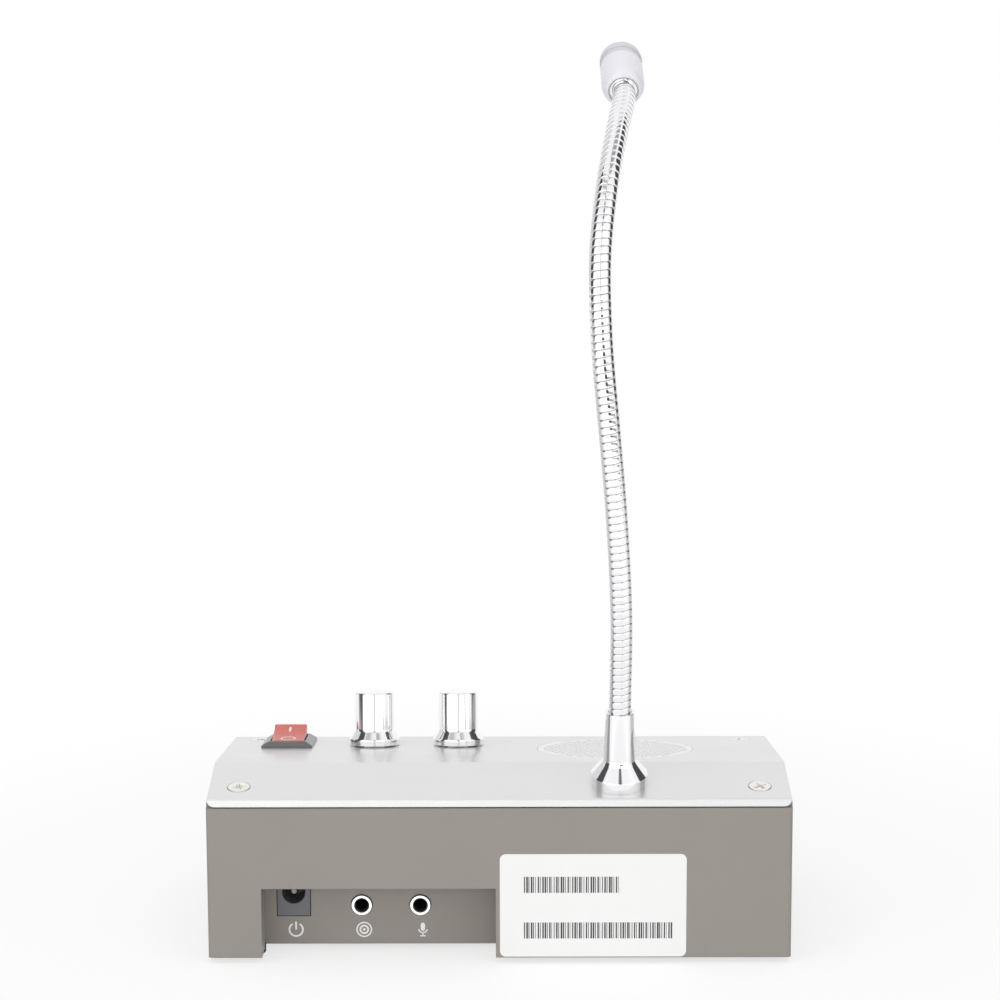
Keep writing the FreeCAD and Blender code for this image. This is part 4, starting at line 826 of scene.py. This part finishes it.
@dataclass
class CoverScrews(SubAssembly):
    """Four countersunk cross-head screws, their tops level with the cover.

    The cross is stamped: over each arm's half width w and half length l the top sinks by
    depth (1 - (along / l)^2), eased to nothing over a narrow band at the arm's sides. The
    head's rim is given by radius and height, and inside it the top has fine rings.
    """

    rim: tuple[tuple[float, float], ...] = ((2.5, 0), (2.8, 0), (2.92, 0), (2.95, -0.04), (2.96, -0.12))
    neck_r: float = 1.55
    shank_r: float = 1.5
    tip_r: float = 1.1
    cone: float = 1.5
    length: float = 9.0
    arm_l: float = 1.9
    arm_w: float = 0.42
    ease: float = 0.16
    depth: float = 1.05
    rings: int = 44
    rings_r: float = 2.1
    from_side: float = 8.3
    rear_setback: float = 8.0
    from_front: float = 7.7
    turns: tuple[float, ...] = (12.0, 58.0, 33.0, 75.0)

    def places(self) -> list[Place]:
        """Frames of the four screws.

        Returns:
            The frames: rear and front on the left, then on the right.
        """
        xs = (self.from_side - CASE.width / 2, CASE.width / 2 - self.from_side)
        front = CASE.depth - self.from_front
        return [f(x, s) for x in xs for f, s in ((CASE.on_slope, self.rear_setback), (CASE.on_panel, front))]

    def sink(self, x: np.ndarray, y: np.ndarray) -> np.ndarray:
        """Depth of the stamped cross at points of the head.

        Args:
            x: first coordinates, along one pair of arms.
            y: second coordinates, along the other pair.

        Returns:
            The depths.
        """
        def arm(along: np.ndarray, across: np.ndarray) -> np.ndarray:
            """Share of the full depth at points along and across one pair of arms."""
            side = np.clip((self.arm_w - np.abs(across)) / self.ease + 0.5, 0, 1)
            return side * side * (3 - 2 * side) * np.clip(1 - (along / self.arm_l) ** 2, 0, 1)
        return self.depth * np.maximum(arm(x, y), arm(y, x))

    def grid(self, degrees: float) -> np.ndarray:
        """One screw in its own frame: head with its cross, countersunk cone and shank.

        Args:
            degrees: how far the cross is turned.

        Returns:
            The grid of points.
        """
        fine = [(r, 0) for r in np.linspace(0, self.rings_r, self.rings)]
        below = ((self.neck_r, -self.cone), (self.shank_r, -self.cone - 0.3),
                 (self.shank_r, 0.4 - self.length), (self.tip_r, -self.length), (0, -self.length))
        grid = turned(np.array([*fine, *self.rim, *below], float), 120)
        top = grid[:self.rings]
        c, s = math.cos(math.radians(degrees)), math.sin(math.radians(degrees))
        top[..., 2] -= self.sink(top[..., 0] * c + top[..., 1] * s, top[..., 1] * c - top[..., 0] * s)
        return grid

    def build(self, paint: Paintbox) -> None:
        """Makes the four screws as one piece, as they share one node.

        Args:
            paint: where the pieces' materials come from.
        """
        grids = [place.out(self.grid(turn)) for place, turn in zip(self.places(), self.turns)]
        made = piece("screws_cross_head", grids, paint.of(Slot.SCREW_STEEL), 30)
        self.keep(made, "case", Slot.SCREW_STEEL, "cover_screws")


@dataclass
class RearLabel(SubAssembly):
    """Printed bars on the bare rear label: two rows that spell nothing."""

    left: float = 0.1
    lift: float = 0.3
    face: float = 0.12
    ink: float = 0.01
    rows: tuple[tuple[float, float, float, float], ...] = ((6.5, 33.0, 17.9, 22.4), (6.5, 46.8, 5.1, 9.6))
    pitch: float = 0.62

    def bars(self, start: float, end: float, low: float, high: float) -> list[np.ndarray]:
        """One row of bars whose widths follow a slow and a fast sine wave.

        Args:
            start: left end of the row, from the label's left edge.
            end: its right end.
            low: lower end of the bars.
            high: their upper end.

        Returns:
            One grid for each bar.
        """
        count = int((end - start) / self.pitch)
        index = np.arange(count)
        width = self.pitch * (0.5 + 0.22 * np.sin(index * 2.4) + 0.13 * np.sin(index * 0.9))
        grids = []
        for x, w in zip(self.left + start + index * self.pitch, width):
            path = np.array([[x + w / 2, low], [x + w / 2, high]]) + [0, self.lift + CASE.foot]
            flat = stroke(path, w, 0, self.ink)
            rear = -CASE.depth / 2 - self.face
            grids.append(np.stack([flat[..., 0], rear - flat[..., 2], flat[..., 1]], axis=-1))
        return grids

    def build(self, paint: Paintbox) -> None:
        """Makes both rows as one printed piece.

        Args:
            paint: where the pieces' materials come from.
        """
        grids = [grid for row in self.rows for grid in self.bars(*row)]
        ink = paint.extra("label_ink", Moulded((62, 62, 64), 0.6, 0.0, grain=0.1, depth=0.001, mottle=0.05))
        self.keep(piece("label_bars", grids, ink), "case", Slot.LABEL_WHITE)


@dataclass
class SocketMarks(SubAssembly):
    """White printed signs under the sockets: power, loudspeaker and microphone."""

    setback: float = 12.1
    height: float = 4.05
    ink: float = 0.03
    line: float = 0.5
    power_x: float = -56.05
    speaker_x: float = -37.3
    microphone_x: float = -21.15

    @staticmethod
    def arc(radius: float, start: float, end: float) -> np.ndarray:
        """A path along part of a circle, in degrees from the right."""
        angle = np.radians(np.linspace(start, end, 40))
        return radius * np.stack([np.cos(angle), np.sin(angle)], axis=1)

    def power(self) -> list[np.ndarray]:
        """An open ring with a bar through its gap."""
        paths = (self.arc(1.85, 122, 418), np.array([[0, 0], [0, 2.25]]))
        return [stroke(path, self.line, 0, self.ink) for path in paths]

    def speaker(self) -> list[np.ndarray]:
        """Two rings round a disc."""
        rings = [stroke(closed(oval(r, r)), w, 0, self.ink) for r, w in ((2.0, 0.36), (1.08, 0.46))]
        return rings + [slab(oval(0.36, 0.36), 0, self.ink, 0.01, (0, 0))]

    def microphone(self) -> list[np.ndarray]:
        """A capsule in a cradle on a foot.

        Returns:
            Grids of the capsule, the cradle, the stem and the foot.
        """
        capsule = slab(oval(0.62, 1.15, power=2.6) + [0, 0.75], 0, self.ink, 0.01, (0, 0.75))
        stem, foot = np.array([[0, -0.95], [0, -1.75]]), np.array([[-0.75, -1.85], [0.75, -1.85]])
        paths = (self.arc(1.2, 190, 350) + [0, 0.25], stem, foot)
        return [capsule] + [stroke(path, 0.34, 0, self.ink) for path in paths]

    def build(self, paint: Paintbox) -> None:
        """Makes one printed piece for each sign on the recess's back wall.

        Args:
            paint: where the pieces' materials come from.
        """
        ink = paint.extra("sign_ink", Moulded((253, 253, 254), 0.5, 0.0, grain=0.1, depth=0.001, mottle=0.0))
        signs = (("power", self.power_x, self.power()), ("speaker", self.speaker_x, self.speaker()),
                 ("microphone", self.microphone_x, self.microphone()))
        for name, x, grids in signs:
            centre = CASE.at(x, self.setback, self.height)
            walls = [centre + np.stack([g[..., 0], -g[..., 2], g[..., 1]], axis=-1) for g in grids]
            self.keep(piece("sign_" + name, walls, ink), "case", Slot.CASE_GREY)


@dataclass
class RockerSwitch(SubAssembly):
    """The red rocker, pressed at its rear half, with its I and O.

    In its own frame, whose X is the pivot, the top of each half rises from the valley
    as valley + |y| tan(rise) - dish sin(pi |y| / half length).
    """

    x: float = -61.4
    setback: float = 64.1
    half_w: float = 4.7
    half_l: float = 7.2
    swing: float = 13.0
    rise: float = 6.0
    pressed: float = 1.9
    pivot: float = 1.0
    low: float = -2.6
    dish: float = 0.16
    edge: float = 0.45
    corner: float = 0.35
    waist: float = 0.2
    tail: float = 2.6
    bar: tuple[float, float] = (2.5, 5.3)
    bar_w: float = 0.62
    ring: tuple[float, float] = (2.0, 1.9)
    ring_y: float = -3.9
    ring_w: float = 0.42
    ink: float = 0.03

    def place(self) -> Place:
        """Frame at the pivot, tipped towards the rear."""
        panel = CASE.on_panel(self.x, self.setback)
        return Place.tipped(panel.out(np.array([0, 0, -self.pivot])), self.swing - CASE.panel_slope)

    def top(self, y: np.ndarray) -> np.ndarray:
        """Height of the rocker's top along its length.

        Args:
            y: places along its length, from the pivot.

        Returns:
            The heights above the pivot.
        """
        swing, slope = math.radians(self.swing), math.tan(math.radians(self.rise))
        crest = (self.pressed + self.pivot + self.half_l * math.sin(swing)) / math.cos(swing)
        valley = crest - self.half_l * slope
        return valley + np.abs(y) * slope - self.dish * np.sin(math.pi * np.abs(y) / self.half_l)

    def body(self) -> np.ndarray:
        """The rocker as its side view carried across its width with rounded rims.

        Returns:
            The grid of points in the rocker's own frame.
        """
        inner = self.half_l - self.corner
        y = np.linspace(inner, -inner, 41)
        ends = self.top(np.array([self.half_l]))[0]
        arc = np.radians(np.linspace(15, 75, 3))
        right = np.stack([inner + self.corner * np.cos(arc), ends - self.corner * (1 - np.sin(arc))], axis=1)
        upper = np.stack([y, self.top(y)], axis=1)
        lower = [(-self.half_l, self.waist), (-self.tail, self.low), (self.tail, self.low),
                 (self.half_l, self.waist)]
        outline = np.vstack([right, upper, right[::-1] * [-1, 1], lower])
        return slab(outline, -self.half_w, self.half_w, self.edge, (0.0, 0.6))[..., [2, 0, 1]]

    def marks(self) -> list[np.ndarray]:
        """A bar on the raised half and a ring on the pressed half, laid on the top.

        Returns:
            Grids of the bar and the ring in the rocker's own frame.
        """
        bar = stroke(np.array([[0, y] for y in self.bar]), self.bar_w, 0, self.ink)
        ring = stroke(closed(oval(*self.ring)) + [0, self.ring_y], self.ring_w, 0, self.ink)
        for flat in (bar, ring):
            flat[..., 2] += self.top(flat[..., 1])
        return [bar, ring]

    def build(self, paint: Paintbox) -> None:
        """Makes the rocker and its marks.

        Args:
            paint: where the pieces' materials come from.
        """
        place = self.place()
        body = piece("rocker_red_key", [place.out(self.body())], paint.of(Slot.ROCKER_RED), 50)
        self.keep(body, "rocker", Slot.ROCKER_RED, "switch_rocker")
        finish = Moulded((250, 240, 238), 0.4, 0.0, grain=0.2, depth=0.001, mottle=0.01)
        ink, marks = paint.extra("rocker_ink", finish), [place.out(grid) for grid in self.marks()]
        self.keep(piece("rocker_marks", marks, ink), "rocker", Slot.ROCKER_RED)


@dataclass
class VolumeKnob(TurnedPart):
    """A turned knob: flange, cone and plain grip with a softly broken top edge, hollow
    over the control's nut and over the plastic bush."""

    name: str
    x: float
    setback: float = 61.1
    base_r: float = 7.3
    top_r: float = 5.7
    flange_top: float = 2.1
    cone_top: float = 4.6
    height: float = 15.6
    gap: float = 0.4
    bush_r: float = 4.2
    bush_top: float = 13.5
    well_r: float = 5.84
    well_top: float = 2.6

    def profile(self) -> np.ndarray:
        """Half section from the middle of the top, over the outside, to the bore's roof.

        Returns:
            Radius and height of each point, one to a row.
        """
        return rounded([(0, self.height, 0), (self.top_r, self.height, 0.55),
                        (self.top_r, self.cone_top, 0.5), (self.base_r, self.flange_top, 0.3),
                        (self.base_r, self.gap, 0.14), (self.well_r, self.gap, 0),
                        (self.well_r, self.well_top, 0), (self.bush_r, self.well_top, 0),
                        (self.bush_r, self.bush_top, 0), (0, self.bush_top, 0)])

    def build(self, paint: Paintbox) -> None:
        """Makes the knob, riding on its control.

        Args:
            paint: where the pieces' materials come from.
        """
        place, slot = CASE.on_panel(self.x, self.setback), Slot.KNOB_ALUMINIUM
        self.turn(self.name + "_turned_knob", place, paint.of(slot), self.name + "_control", slot,
                  self.name + "_knob")


@dataclass
class NeckCollar(TurnedPart):
    """The turned collar: flange, cone and sleeve over a hollow threaded stem."""

    x: float = 32.6
    setback: float = 10.3
    flange_r: float = 7.75
    flange_h: float = 2.95
    foot_r: float = 4.45
    cone_top: float = 6.95
    top_r: float = 3.9
    height: float = 21.3
    bore_r: float = 3.13
    seat: float = 7.3
    lead_r: float = 1.4
    stem_r: float = 4.0
    stem: float = 7.0

    def place(self) -> Place:
        """Frame on the rear slope under the neck."""
        return CASE.on_slope(self.x, self.setback)

    def profile(self) -> np.ndarray:
        """Closed half section, from the stem's end round the outside and down the bore.

        Returns:
            Radius and height of each point, one to a row.
        """
        return rounded([(self.lead_r, -self.stem, 0), (self.stem_r, -self.stem, 0.3), (self.stem_r, 0, 0),
                        (self.flange_r, 0, 0.12), (self.flange_r, self.flange_h, 0.18),
                        (self.foot_r, self.cone_top, 0.9), (self.top_r, self.height, 0.25),
                        (self.bore_r, self.height, 0.18), (self.bore_r, self.seat, 0),
                        (self.lead_r, self.seat, 0), (self.lead_r, -self.stem, 0)])

    def build(self, paint: Paintbox) -> None:
        """Makes the collar."""
        plated = paint.extra("collar_chrome", Metal((245, 245, 247), 0.09, 0.0, Lay.ROUND, 0.0005, 0.02))
        self.turn("collar_turned", self.place(), plated, "case", Slot.NECK_CHROME, "neck_collar")


@dataclass
class WoundNeck(SubAssembly):
    """The flexible neck: one crowned strip wound edge to edge round a bent line.

    At distance s along the line and angle a round it a point stands
    radius - crown (2w - 1)^2 - groove dip from the line, where w is the share of the way
    across the strip, dip rises over a share of rim to 1 at its two edges, and
    s = pitch (turn + w + a / full turn). The line is a chain of cubic curves through a
    point deep in the collar, its mouth, the joints, and two points on the microphone's
    axis, a stub before its back and an entry behind it.

    Attributes:
        shares: where the rows of points lie across the strip.
        around: steps round the line.
        seated: how far above the collar's seat the line starts.
        sunk: turns at the line's end that are left out, hidden in the microphone.
        stiff: lengths next to a piece's two ends, at which points of the line are worked out but not used.
        chain: names of the two bodies of each joint.
        line: points of the line.
        length: distance of each along it.
        knots: distances of the points that it is drawn through.
    """

    collar: NeckCollar
    radius: float = 3.1
    pitch: float = 2.01
    crown: float = 0.035
    groove: float = 0.2
    rim: float = 0.07
    shares: tuple[float, ...] = (0.0, 0.035, 0.07, 0.18, 0.34, 0.5, 0.66, 0.82, 0.93, 0.965)
    around: int = 44
    seated: float = 0.2
    stub: float = 2.5
    entry: float = 3.0
    sunk: float = 1.5
    stiff: tuple[float, float] = (3.4, 1.7)
    chain: list[tuple[str, str]] = field(init=False)
    line: np.ndarray = field(init=False)
    length: np.ndarray = field(init=False)
    knots: np.ndarray = field(init=False)

    def __post_init__(self) -> None:
        """Works out the bent line."""
        joints = [j for j in frame["joints"] if j["name"].startswith("neck_")]
        joints.sort(key=lambda j: int(j["name"].rsplit("_", 1)[1]))
        self.chain = [(j["parent"], j["child"]) for j in joints]
        pivots = np.array([j["pos_m"] for j in joints]) / MM
        heights = (self.collar.seat + self.seated, self.collar.height)
        collar = [self.collar.place().out(np.array([0, 0, h])) for h in heights]
        axis, back = microphone_axis(), microphone_back()
        points = np.array([*collar, *pivots, back - axis * self.stub, back + axis * self.entry])
        runs = np.diff(points, axis=0)
        runs /= np.linalg.norm(runs, axis=1, keepdims=True)
        tangents = np.vstack([runs[:1], runs[:-1] + runs[1:], axis[None]])
        tangents[1] = runs[0]
        tangents /= np.linalg.norm(tangents, axis=1, keepdims=True)
        self.line, knots = self.curve(points, tangents)
        step = np.linalg.norm(np.diff(self.line, axis=0), axis=1)
        self.length = np.concatenate([[0], np.cumsum(step)])
        self.knots = self.length[knots]

    @staticmethod
    def curve(points: np.ndarray, tangents: np.ndarray, steps: int = 120) -> tuple[np.ndarray, np.ndarray]:
        """Cubic curves through points with given tangents.

        With chord L, each run is (2t^3-3t^2+1) p + (t^3-2t^2+t) L d + (3t^2-2t^3) q
        + (t^3-t^2) L e.

        Args:
            points: the points p, q of the runs.
            tangents: unit directions d, e at the points.
            steps: points on each run.

        Returns:
            The curve's points, and the index of each given point among them.
        """
        t = np.linspace(0, 1, steps, endpoint=False)[None, :, None]
        p, q = points[:-1, None], points[1:, None]
        chord = np.linalg.norm(q - p, axis=2, keepdims=True)
        d, e = tangents[:-1, None] * chord, tangents[1:, None] * chord
        run = ((2 * t ** 3 - 3 * t ** 2 + 1) * p + (t ** 3 - 2 * t ** 2 + t) * d
               + (3 * t ** 2 - 2 * t ** 3) * q + (t ** 3 - t ** 2) * e)
        line = np.vstack([run.reshape(-1, 3), points[-1:]])
        return line, np.arange(len(points)) * steps

    def along(self, s: np.ndarray) -> tuple[np.ndarray, np.ndarray, np.ndarray]:
        """Points of the line at distances s, and its two normals there.

        Args:
            s: distances from the line's start.

        Returns:
            The points, and two unit normals at each.
        """
        def read(values: np.ndarray) -> np.ndarray:
            """Values of the line at the distances s, each coordinate on its own."""
            return np.stack([np.interp(s, self.length, values[:, k]) for k in range(3)], axis=-1)
        tangent = read(np.gradient(self.line, self.length, axis=0))
        tangent /= np.linalg.norm(tangent, axis=-1, keepdims=True)
        side = np.array([1.0, 0, 0]) - tangent[..., :1] * tangent
        side /= np.linalg.norm(side, axis=-1, keepdims=True)
        return read(self.line), side, np.cross(tangent, side)

    def wound(self, first: int, last: int) -> tuple[list[np.ndarray], np.ndarray]:
        """The strip from one turn to another, closed at both ends.

        Each end is closed by two fans, one from its last full ring and one from the
        strip's own end, that meet in the point of the line in the middle of its turn.

        Args:
            first: turn at which the strip starts.
            last: turn at which it ends.

        Returns:
            The grids of the strip and its four end fans, and the groove share of each point.
        """
        rows = len(self.shares)
        row = np.arange(first * rows, last * rows + 1)[:, None]
        column = np.arange(self.around + 1)[None] / self.around
        w = np.array(self.shares)[row % rows]
        s = self.pitch * (row // rows + w + column)
        w = w + 0 * column
        dip = np.clip((np.abs(w - 0.5) - 0.5) / self.rim + 1, 0, 1)
        centre, side, other = self.along(s)
        angle = 2 * math.pi * column[..., None]
        reach = (self.radius - self.crown * (2 * w - 1) ** 2 - self.groove * dip)[..., None]
        grid = centre + reach * (side * np.cos(angle) + other * np.sin(angle))
        grids, marks = [grid], [dip.ravel()]
        for turn, edges in ((first, (grid[0], grid[:rows + 1, 0])), (last, (grid[-1], grid[-rows - 1:, -1]))):
            pole = self.along(np.array((turn + 0.5) * self.pitch))[0]
            for edge in edges:
                grids.append(np.stack([np.broadcast_to(pole, edge.shape), edge]))
                # The end fans take the full painted groove shade.
                marks.append(np.ones(len(edge) * 2))
        return grids, np.concatenate(marks)

    def build(self, paint: Paintbox) -> None:
        """Makes one piece for each joint, from the middle of one length to that of the next.

        Args:
            paint: where the pieces' materials come from.
        """
        mouth, joints = self.knots[1], self.knots[2:-2]
        middles = (joints[:-1] + joints[1:]) / 2
        cuts = np.concatenate([[0.0], middles, [self.length[-1] - self.sunk * self.pitch]])
        turns = np.round(cuts / self.pitch).astype(int)
        for k, (below, above) in enumerate(self.chain):
            final = k == len(joints) - 1
            grids, marks = self.wound(int(turns[k]), int(turns[k + 1]))
            made = piece("neck_winding_%d" % (k + 1), grids, paint.of(Slot.NECK_CHROME), 60, marks)
            low = turns[k] * self.pitch if k else (mouth + joints[0]) / 2
            high = joints[k] + (joints[k] - low) if final else turns[k + 1] * self.pitch
            ends = self.along(np.array([low + self.stiff[0], high - self.stiff[1]]))[0] * MM
            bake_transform(made)
            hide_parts(*("neck_link_%d" % n for n in range(k + 1, k + 3 if final else k + 2)))


def middle_of(node: str) -> np.ndarray:
    """Centre of a carried-over node's box, in millimetres."""
    low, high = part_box(node)
    return np.array((low + high) / 2) / MM


def microphone_axis() -> np.ndarray:
    """Unit direction from the neck's end through the microphone."""
    run = middle_of("mic_capsule") - middle_of("mic_ferrule")
    return run / np.linalg.norm(run)


def microphone_back() -> np.ndarray:
    """The point on the microphone's axis at the back of its shell.

    Returns:
        The point in the part's frame.
    """
    points = np.array([v.co for v in frame["nodes"]["mic_ferrule"].data.vertices]) / MM
    axis, centre = microphone_axis(), middle_of("mic_ferrule")
    return centre + axis * (((points - centre) @ axis).min() - 0.3)


@dataclass
class MicrophoneHead(TurnedPart):
    """The microphone's rear shell, domed at the back, with a relief round its ferrule."""

    radius: float = 5.8
    mouth_r: float = 3.95
    ring_r: float = 3.66
    relief: float = 0.8
    ring_l: float = 2.0
    dome: float = 3.4
    wall: float = 0.9
    joint: float = 11.8

    def profile(self) -> np.ndarray:
        """Closed half section of the shell, whose back is a quarter of an ellipse.

        Returns:
            Radius and height of each point, one to a row.
        """
        inner = self.radius - self.wall
        angle = np.radians(np.linspace(6, 90, 15))
        width = self.radius - self.mouth_r
        dome = np.stack([self.mouth_r + width * np.sin(angle), self.dome * (1 - np.cos(angle))], axis=1)
        front = rounded([(self.radius, self.dome, 0), (self.radius, self.joint, 0.18),
                         (inner, self.joint, 0.1), (inner, self.dome, 0), (self.ring_r, self.ring_l, 0),
                         (self.ring_r, self.relief, 0), (self.mouth_r, self.relief, 0)])
        return np.vstack([dome, front, dome[:1]])

    def build(self, paint: Paintbox) -> None:
        """Makes the shell."""
        place, slot = Place.along(microphone_back(), microphone_axis()), Slot.MIC_PEARL
        self.turn("microphone_shell", place, paint.of(slot), "microphone_head", slot, "mic_housing")


# ---- studio ----

@dataclass(frozen=True)
class Camera:
    """A still camera on the glass side, its focal length in widths of the picture."""

    focal: float = 2.7528
    eye: Triple = (3.537, -757.73, 243.69)
    pitch: float = 9.226
    roll: float = -0.168
    yaw: float = -0.246

    def build(self) -> None:
        """Makes the camera: forward, right and up come from pitch, yaw and roll."""
        pitch, roll, yaw = (math.radians(v) for v in (self.pitch, self.roll, self.yaw))
        forward = Vector((math.sin(yaw) * math.cos(pitch), math.cos(yaw) * math.cos(pitch), -math.sin(pitch)))
        level = Vector((math.cos(yaw), -math.sin(yaw), 0))
        upright = level.cross(forward)
        right = level * math.cos(roll) + upright * math.sin(roll)
        up = upright * math.cos(roll) - level * math.sin(roll)
        lens = bpy.data.cameras.new("camera")
        lens.sensor_fit = "HORIZONTAL"
        lens.sensor_width = 36.0
        lens.lens = self.focal * 36.0
        lens.clip_start = 0.02
        camera = bpy.data.objects.new("camera", lens)
        camera.matrix_world = Matrix.Translation(Vector(self.eye) * MM) @ Matrix(
            (right, up, -forward)).transposed().to_4x4()
        bpy.context.scene.collection.objects.link(camera)
        bpy.context.scene.camera = camera


@dataclass(frozen=True)
class Softbox:
    """A square soft lamp that gives a white surface at its aim a share of full brightness."""

    name: str
    place: Triple
    side: float
    share: float
    aim: Triple = (0.0, 0.0, 0.08)

    def build(self) -> None:
        """Makes the lamp: its power is share pi^2 distance^2."""
        run = Vector(self.aim) - Vector(self.place)
        lamp = bpy.data.lights.new(self.name, "AREA")
        lamp.shape = "SQUARE"
        lamp.size = self.side
        lamp.energy = self.share * math.pi ** 2 * run.length_squared
        box = bpy.data.objects.new(self.name, lamp)
        box.location = self.place
        box.rotation_euler = run.to_track_quat("-Z", "Y").to_euler()
        box.visible_glossy = False
        bpy.context.scene.collection.objects.link(box)


@dataclass(frozen=True)
class Flag:
    """A dark screen of the studio, or a bright one, seen only in reflections.

    Attributes:
        azimuth: its bearing from the camera's side, degrees to the right.
        half_w: half its width in degrees.
        low: elevation of its lower edge.
        high: elevation of its upper edge.
        dark: how much it darkens, less than nothing where it brightens.
        soft: width of its blurred rim in degrees.
    """

    azimuth: float
    half_w: float
    low: float
    high: float
    dark: float
    soft: float = 4.0


@dataclass
class Studio:
    """White room: camera, four soft lamps, an even dome with its screens, and the floor.

    Attributes:
        dome: strength of the dome's light on dull surfaces.
        boxes: the lamps.
        flags: the screens.
        floor_grey: how much light the floor gives back.
        floor_radii: radii of the floor's rings in millimetres.
        glow: strength of the light in which the floor fades, seen by the camera alone.
        glow_share: the glow's share near the object and far from it.
        glow_reach: distances in metres between which the share grows.
    """

    dome: float = 0.5
    floor_grey: float = 0.87
    floor_radii: tuple[float, ...] = (0.0, 150.0, 400.0, 1200.0, 6000.0)
    glow: float = 1.15
    glow_share: tuple[float, float] = (0.6, 1.0)
    glow_reach: tuple[float, float] = (0.15, 0.7)
    boxes: tuple[Softbox, ...] = (
        Softbox("softbox_top", (0.0, -0.25, 1.3), 1.4, 0.30),
        Softbox("softbox_left", (-1.1, -1.0, 0.7), 1.0, 0.17),
        Softbox("softbox_right", (1.1, -1.0, 0.6), 1.0, 0.10),
        Softbox("softbox_front", (-0.1, -1.7, 0.2), 1.2, 0.26, (0.0, 0.0, 0.05)),
    )
    flags: tuple[Flag, ...] = (
        Flag(0, 60, -20, 30, -0.25, 8.0),
        Flag(0, 60, -22, 0, -0.38, 4.0),
        Flag(104, 17, -3, 45, 0.93, 3.0),
        Flag(104, 17, -9, -6, 0.55, 3.0),
        Flag(112, 22, -35, -12, 0.38, 3.0),
        Flag(-86, 14, -3, 50, 0.92, 3.0),
        Flag(-86, 14, -9, -6, 0.50, 3.0),
        Flag(-112, 22, -35, -12, 0.34, 3.0),
        Flag(-118, 18, 0, 60, 0.25, 6.0),
        Flag(12, 11, -12, -2, 0.92, 2.0),
        Flag(40, 27, -11, -8, 0.75, 3.0),
        Flag(3, 2.0, -8, 60, 0.60, 1.5),
        Flag(3, 6, 36, 46, 0.75, 2.0),
        Flag(-35, 33, 54, 60, 0.45, 3.0),
        Flag(70, 50, 62, 82, 0.60, 5.0),
    )

    def world(self) -> None:
        """Even light for dull surfaces; a white room with its screens for gloss and camera.

        A screen covers a direction where its bearing and its elevation are both within the
        screen's, eased over its soft rim: room = product of (1 - dark cover) over the screens.
        """
        world = bpy.data.worlds.new("studio")
        bpy.context.scene.world = world
        graph = Graph(world, "Background")
        calc, rays = graph.math, graph.node("LightPath", {}).outputs
        x, y, z = graph.node("SeparateXYZ", {0: graph.coordinates["Generated"]}).outputs
        flat = calc("SQRT", calc("ADD", calc("MULTIPLY", x, x), calc("MULTIPLY", y, y)))
        height = calc("ARCTAN2", z, flat)
        room: object = 1.0
        for flag in self.flags:
            bearing, soft = math.radians(flag.azimuth), math.radians(flag.soft)
            right, ahead = calc("MULTIPLY", x, math.sin(bearing)), calc("MULTIPLY", y, math.cos(bearing))
            facing = calc("SUBTRACT", right, ahead)
            off = calc("ARCCOSINE", calc("DIVIDE", facing, calc("MAXIMUM", flat, 1e-4)))
            rise = calc("ABSOLUTE", calc("SUBTRACT", height, math.radians(flag.low + flag.high) / 2))
            reaches = ((off, math.radians(flag.half_w)), (rise, math.radians(flag.high - flag.low) / 2))
            inside = [graph.spread(v, 1.0, 0.0, reach, reach + soft, "SMOOTHSTEP") for v, reach in reaches]
            cover = calc("MULTIPLY", calc("MULTIPLY", *inside), flag.dark)
            room = calc("MULTIPLY", room, calc("SUBTRACT", 1.0, cover))
        seen = calc("MAXIMUM", rays["Is Camera Ray"], rays["Is Transmission Ray"])
        glossy = calc("MULTIPLY", rays["Is Glossy Ray"], calc("SUBTRACT", 1.0, seen))
        dull = calc("SUBTRACT", 1.0, calc("MAXIMUM", seen, glossy))
        mirrored, scattered = calc("MULTIPLY", glossy, room), calc("MULTIPLY", dull, self.dome)
        graph.put("Color", (1.0, 1.0, 1.0, 1.0))
        graph.put("Strength", calc("ADD", calc("ADD", seen, mirrored), scattered))

    def floor(self) -> None:
        """A pale round floor that keeps the object's shadow and fades to the white room."""
        material = bpy.data.materials.new("floor_white")
        graph = Graph(material)
        graph.put("Base Color", (self.floor_grey, self.floor_grey, self.floor_grey, 1.0))
        graph.put("Roughness", 0.7)
        graph.put("Specular IOR Level", 0.1)
        glow = graph.node("Emission", {"Color": (1.0, 1.0, 1.0, 1.0), "Strength": self.glow})
        far = graph.node("VectorMath", {0: graph.coordinates["Object"]}, operation="LENGTH").outputs["Value"]
        away = graph.spread(far, *self.glow_share, *self.glow_reach)
        shown = graph.math("MULTIPLY", away, graph.node("LightPath", {}).outputs["Is Camera Ray"])
        mixed = graph.node("MixShader", {0: shown, 1: graph.shader.outputs[0], 2: glow.outputs[0]})
        graph.links.new(mixed.outputs[0], graph.nodes["Material Output"].inputs["Surface"])
        made = piece("floor", [turned(np.array([(r, 0) for r in self.floor_radii]), 64)], material)
        made.visible_glossy = False

    def build(self) -> None:
        """Sets the whole studio up."""
        Camera().build()
        for box in self.boxes:
            box.build()
        self.world()
        self.floor()
        bpy.context.scene.view_settings.view_transform = "Standard"


def main() -> None:
    """Builds the studio, dresses the carried-over nodes and adds the new pieces."""
    logging.basicConfig(level=logging.INFO, format="%(name)s %(message)s")
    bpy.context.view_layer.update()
    Studio().build()
    paint = Paintbox()
    paint.dress_nodes()
    collar = NeckCollar()
    assemblies: tuple[SubAssembly, ...] = (
        CoverScrews(), RearLabel(), SocketMarks(), RockerSwitch(), VolumeKnob("talk", -36.4),
        VolumeKnob("listen", -12.1), collar, WoundNeck(collar), MicrophoneHead(),
    )
    for assembly in assemblies:
        assembly.build(paint)
        log.info("built %s", type(assembly).__name__)


if __name__ == "__main__":
    main()
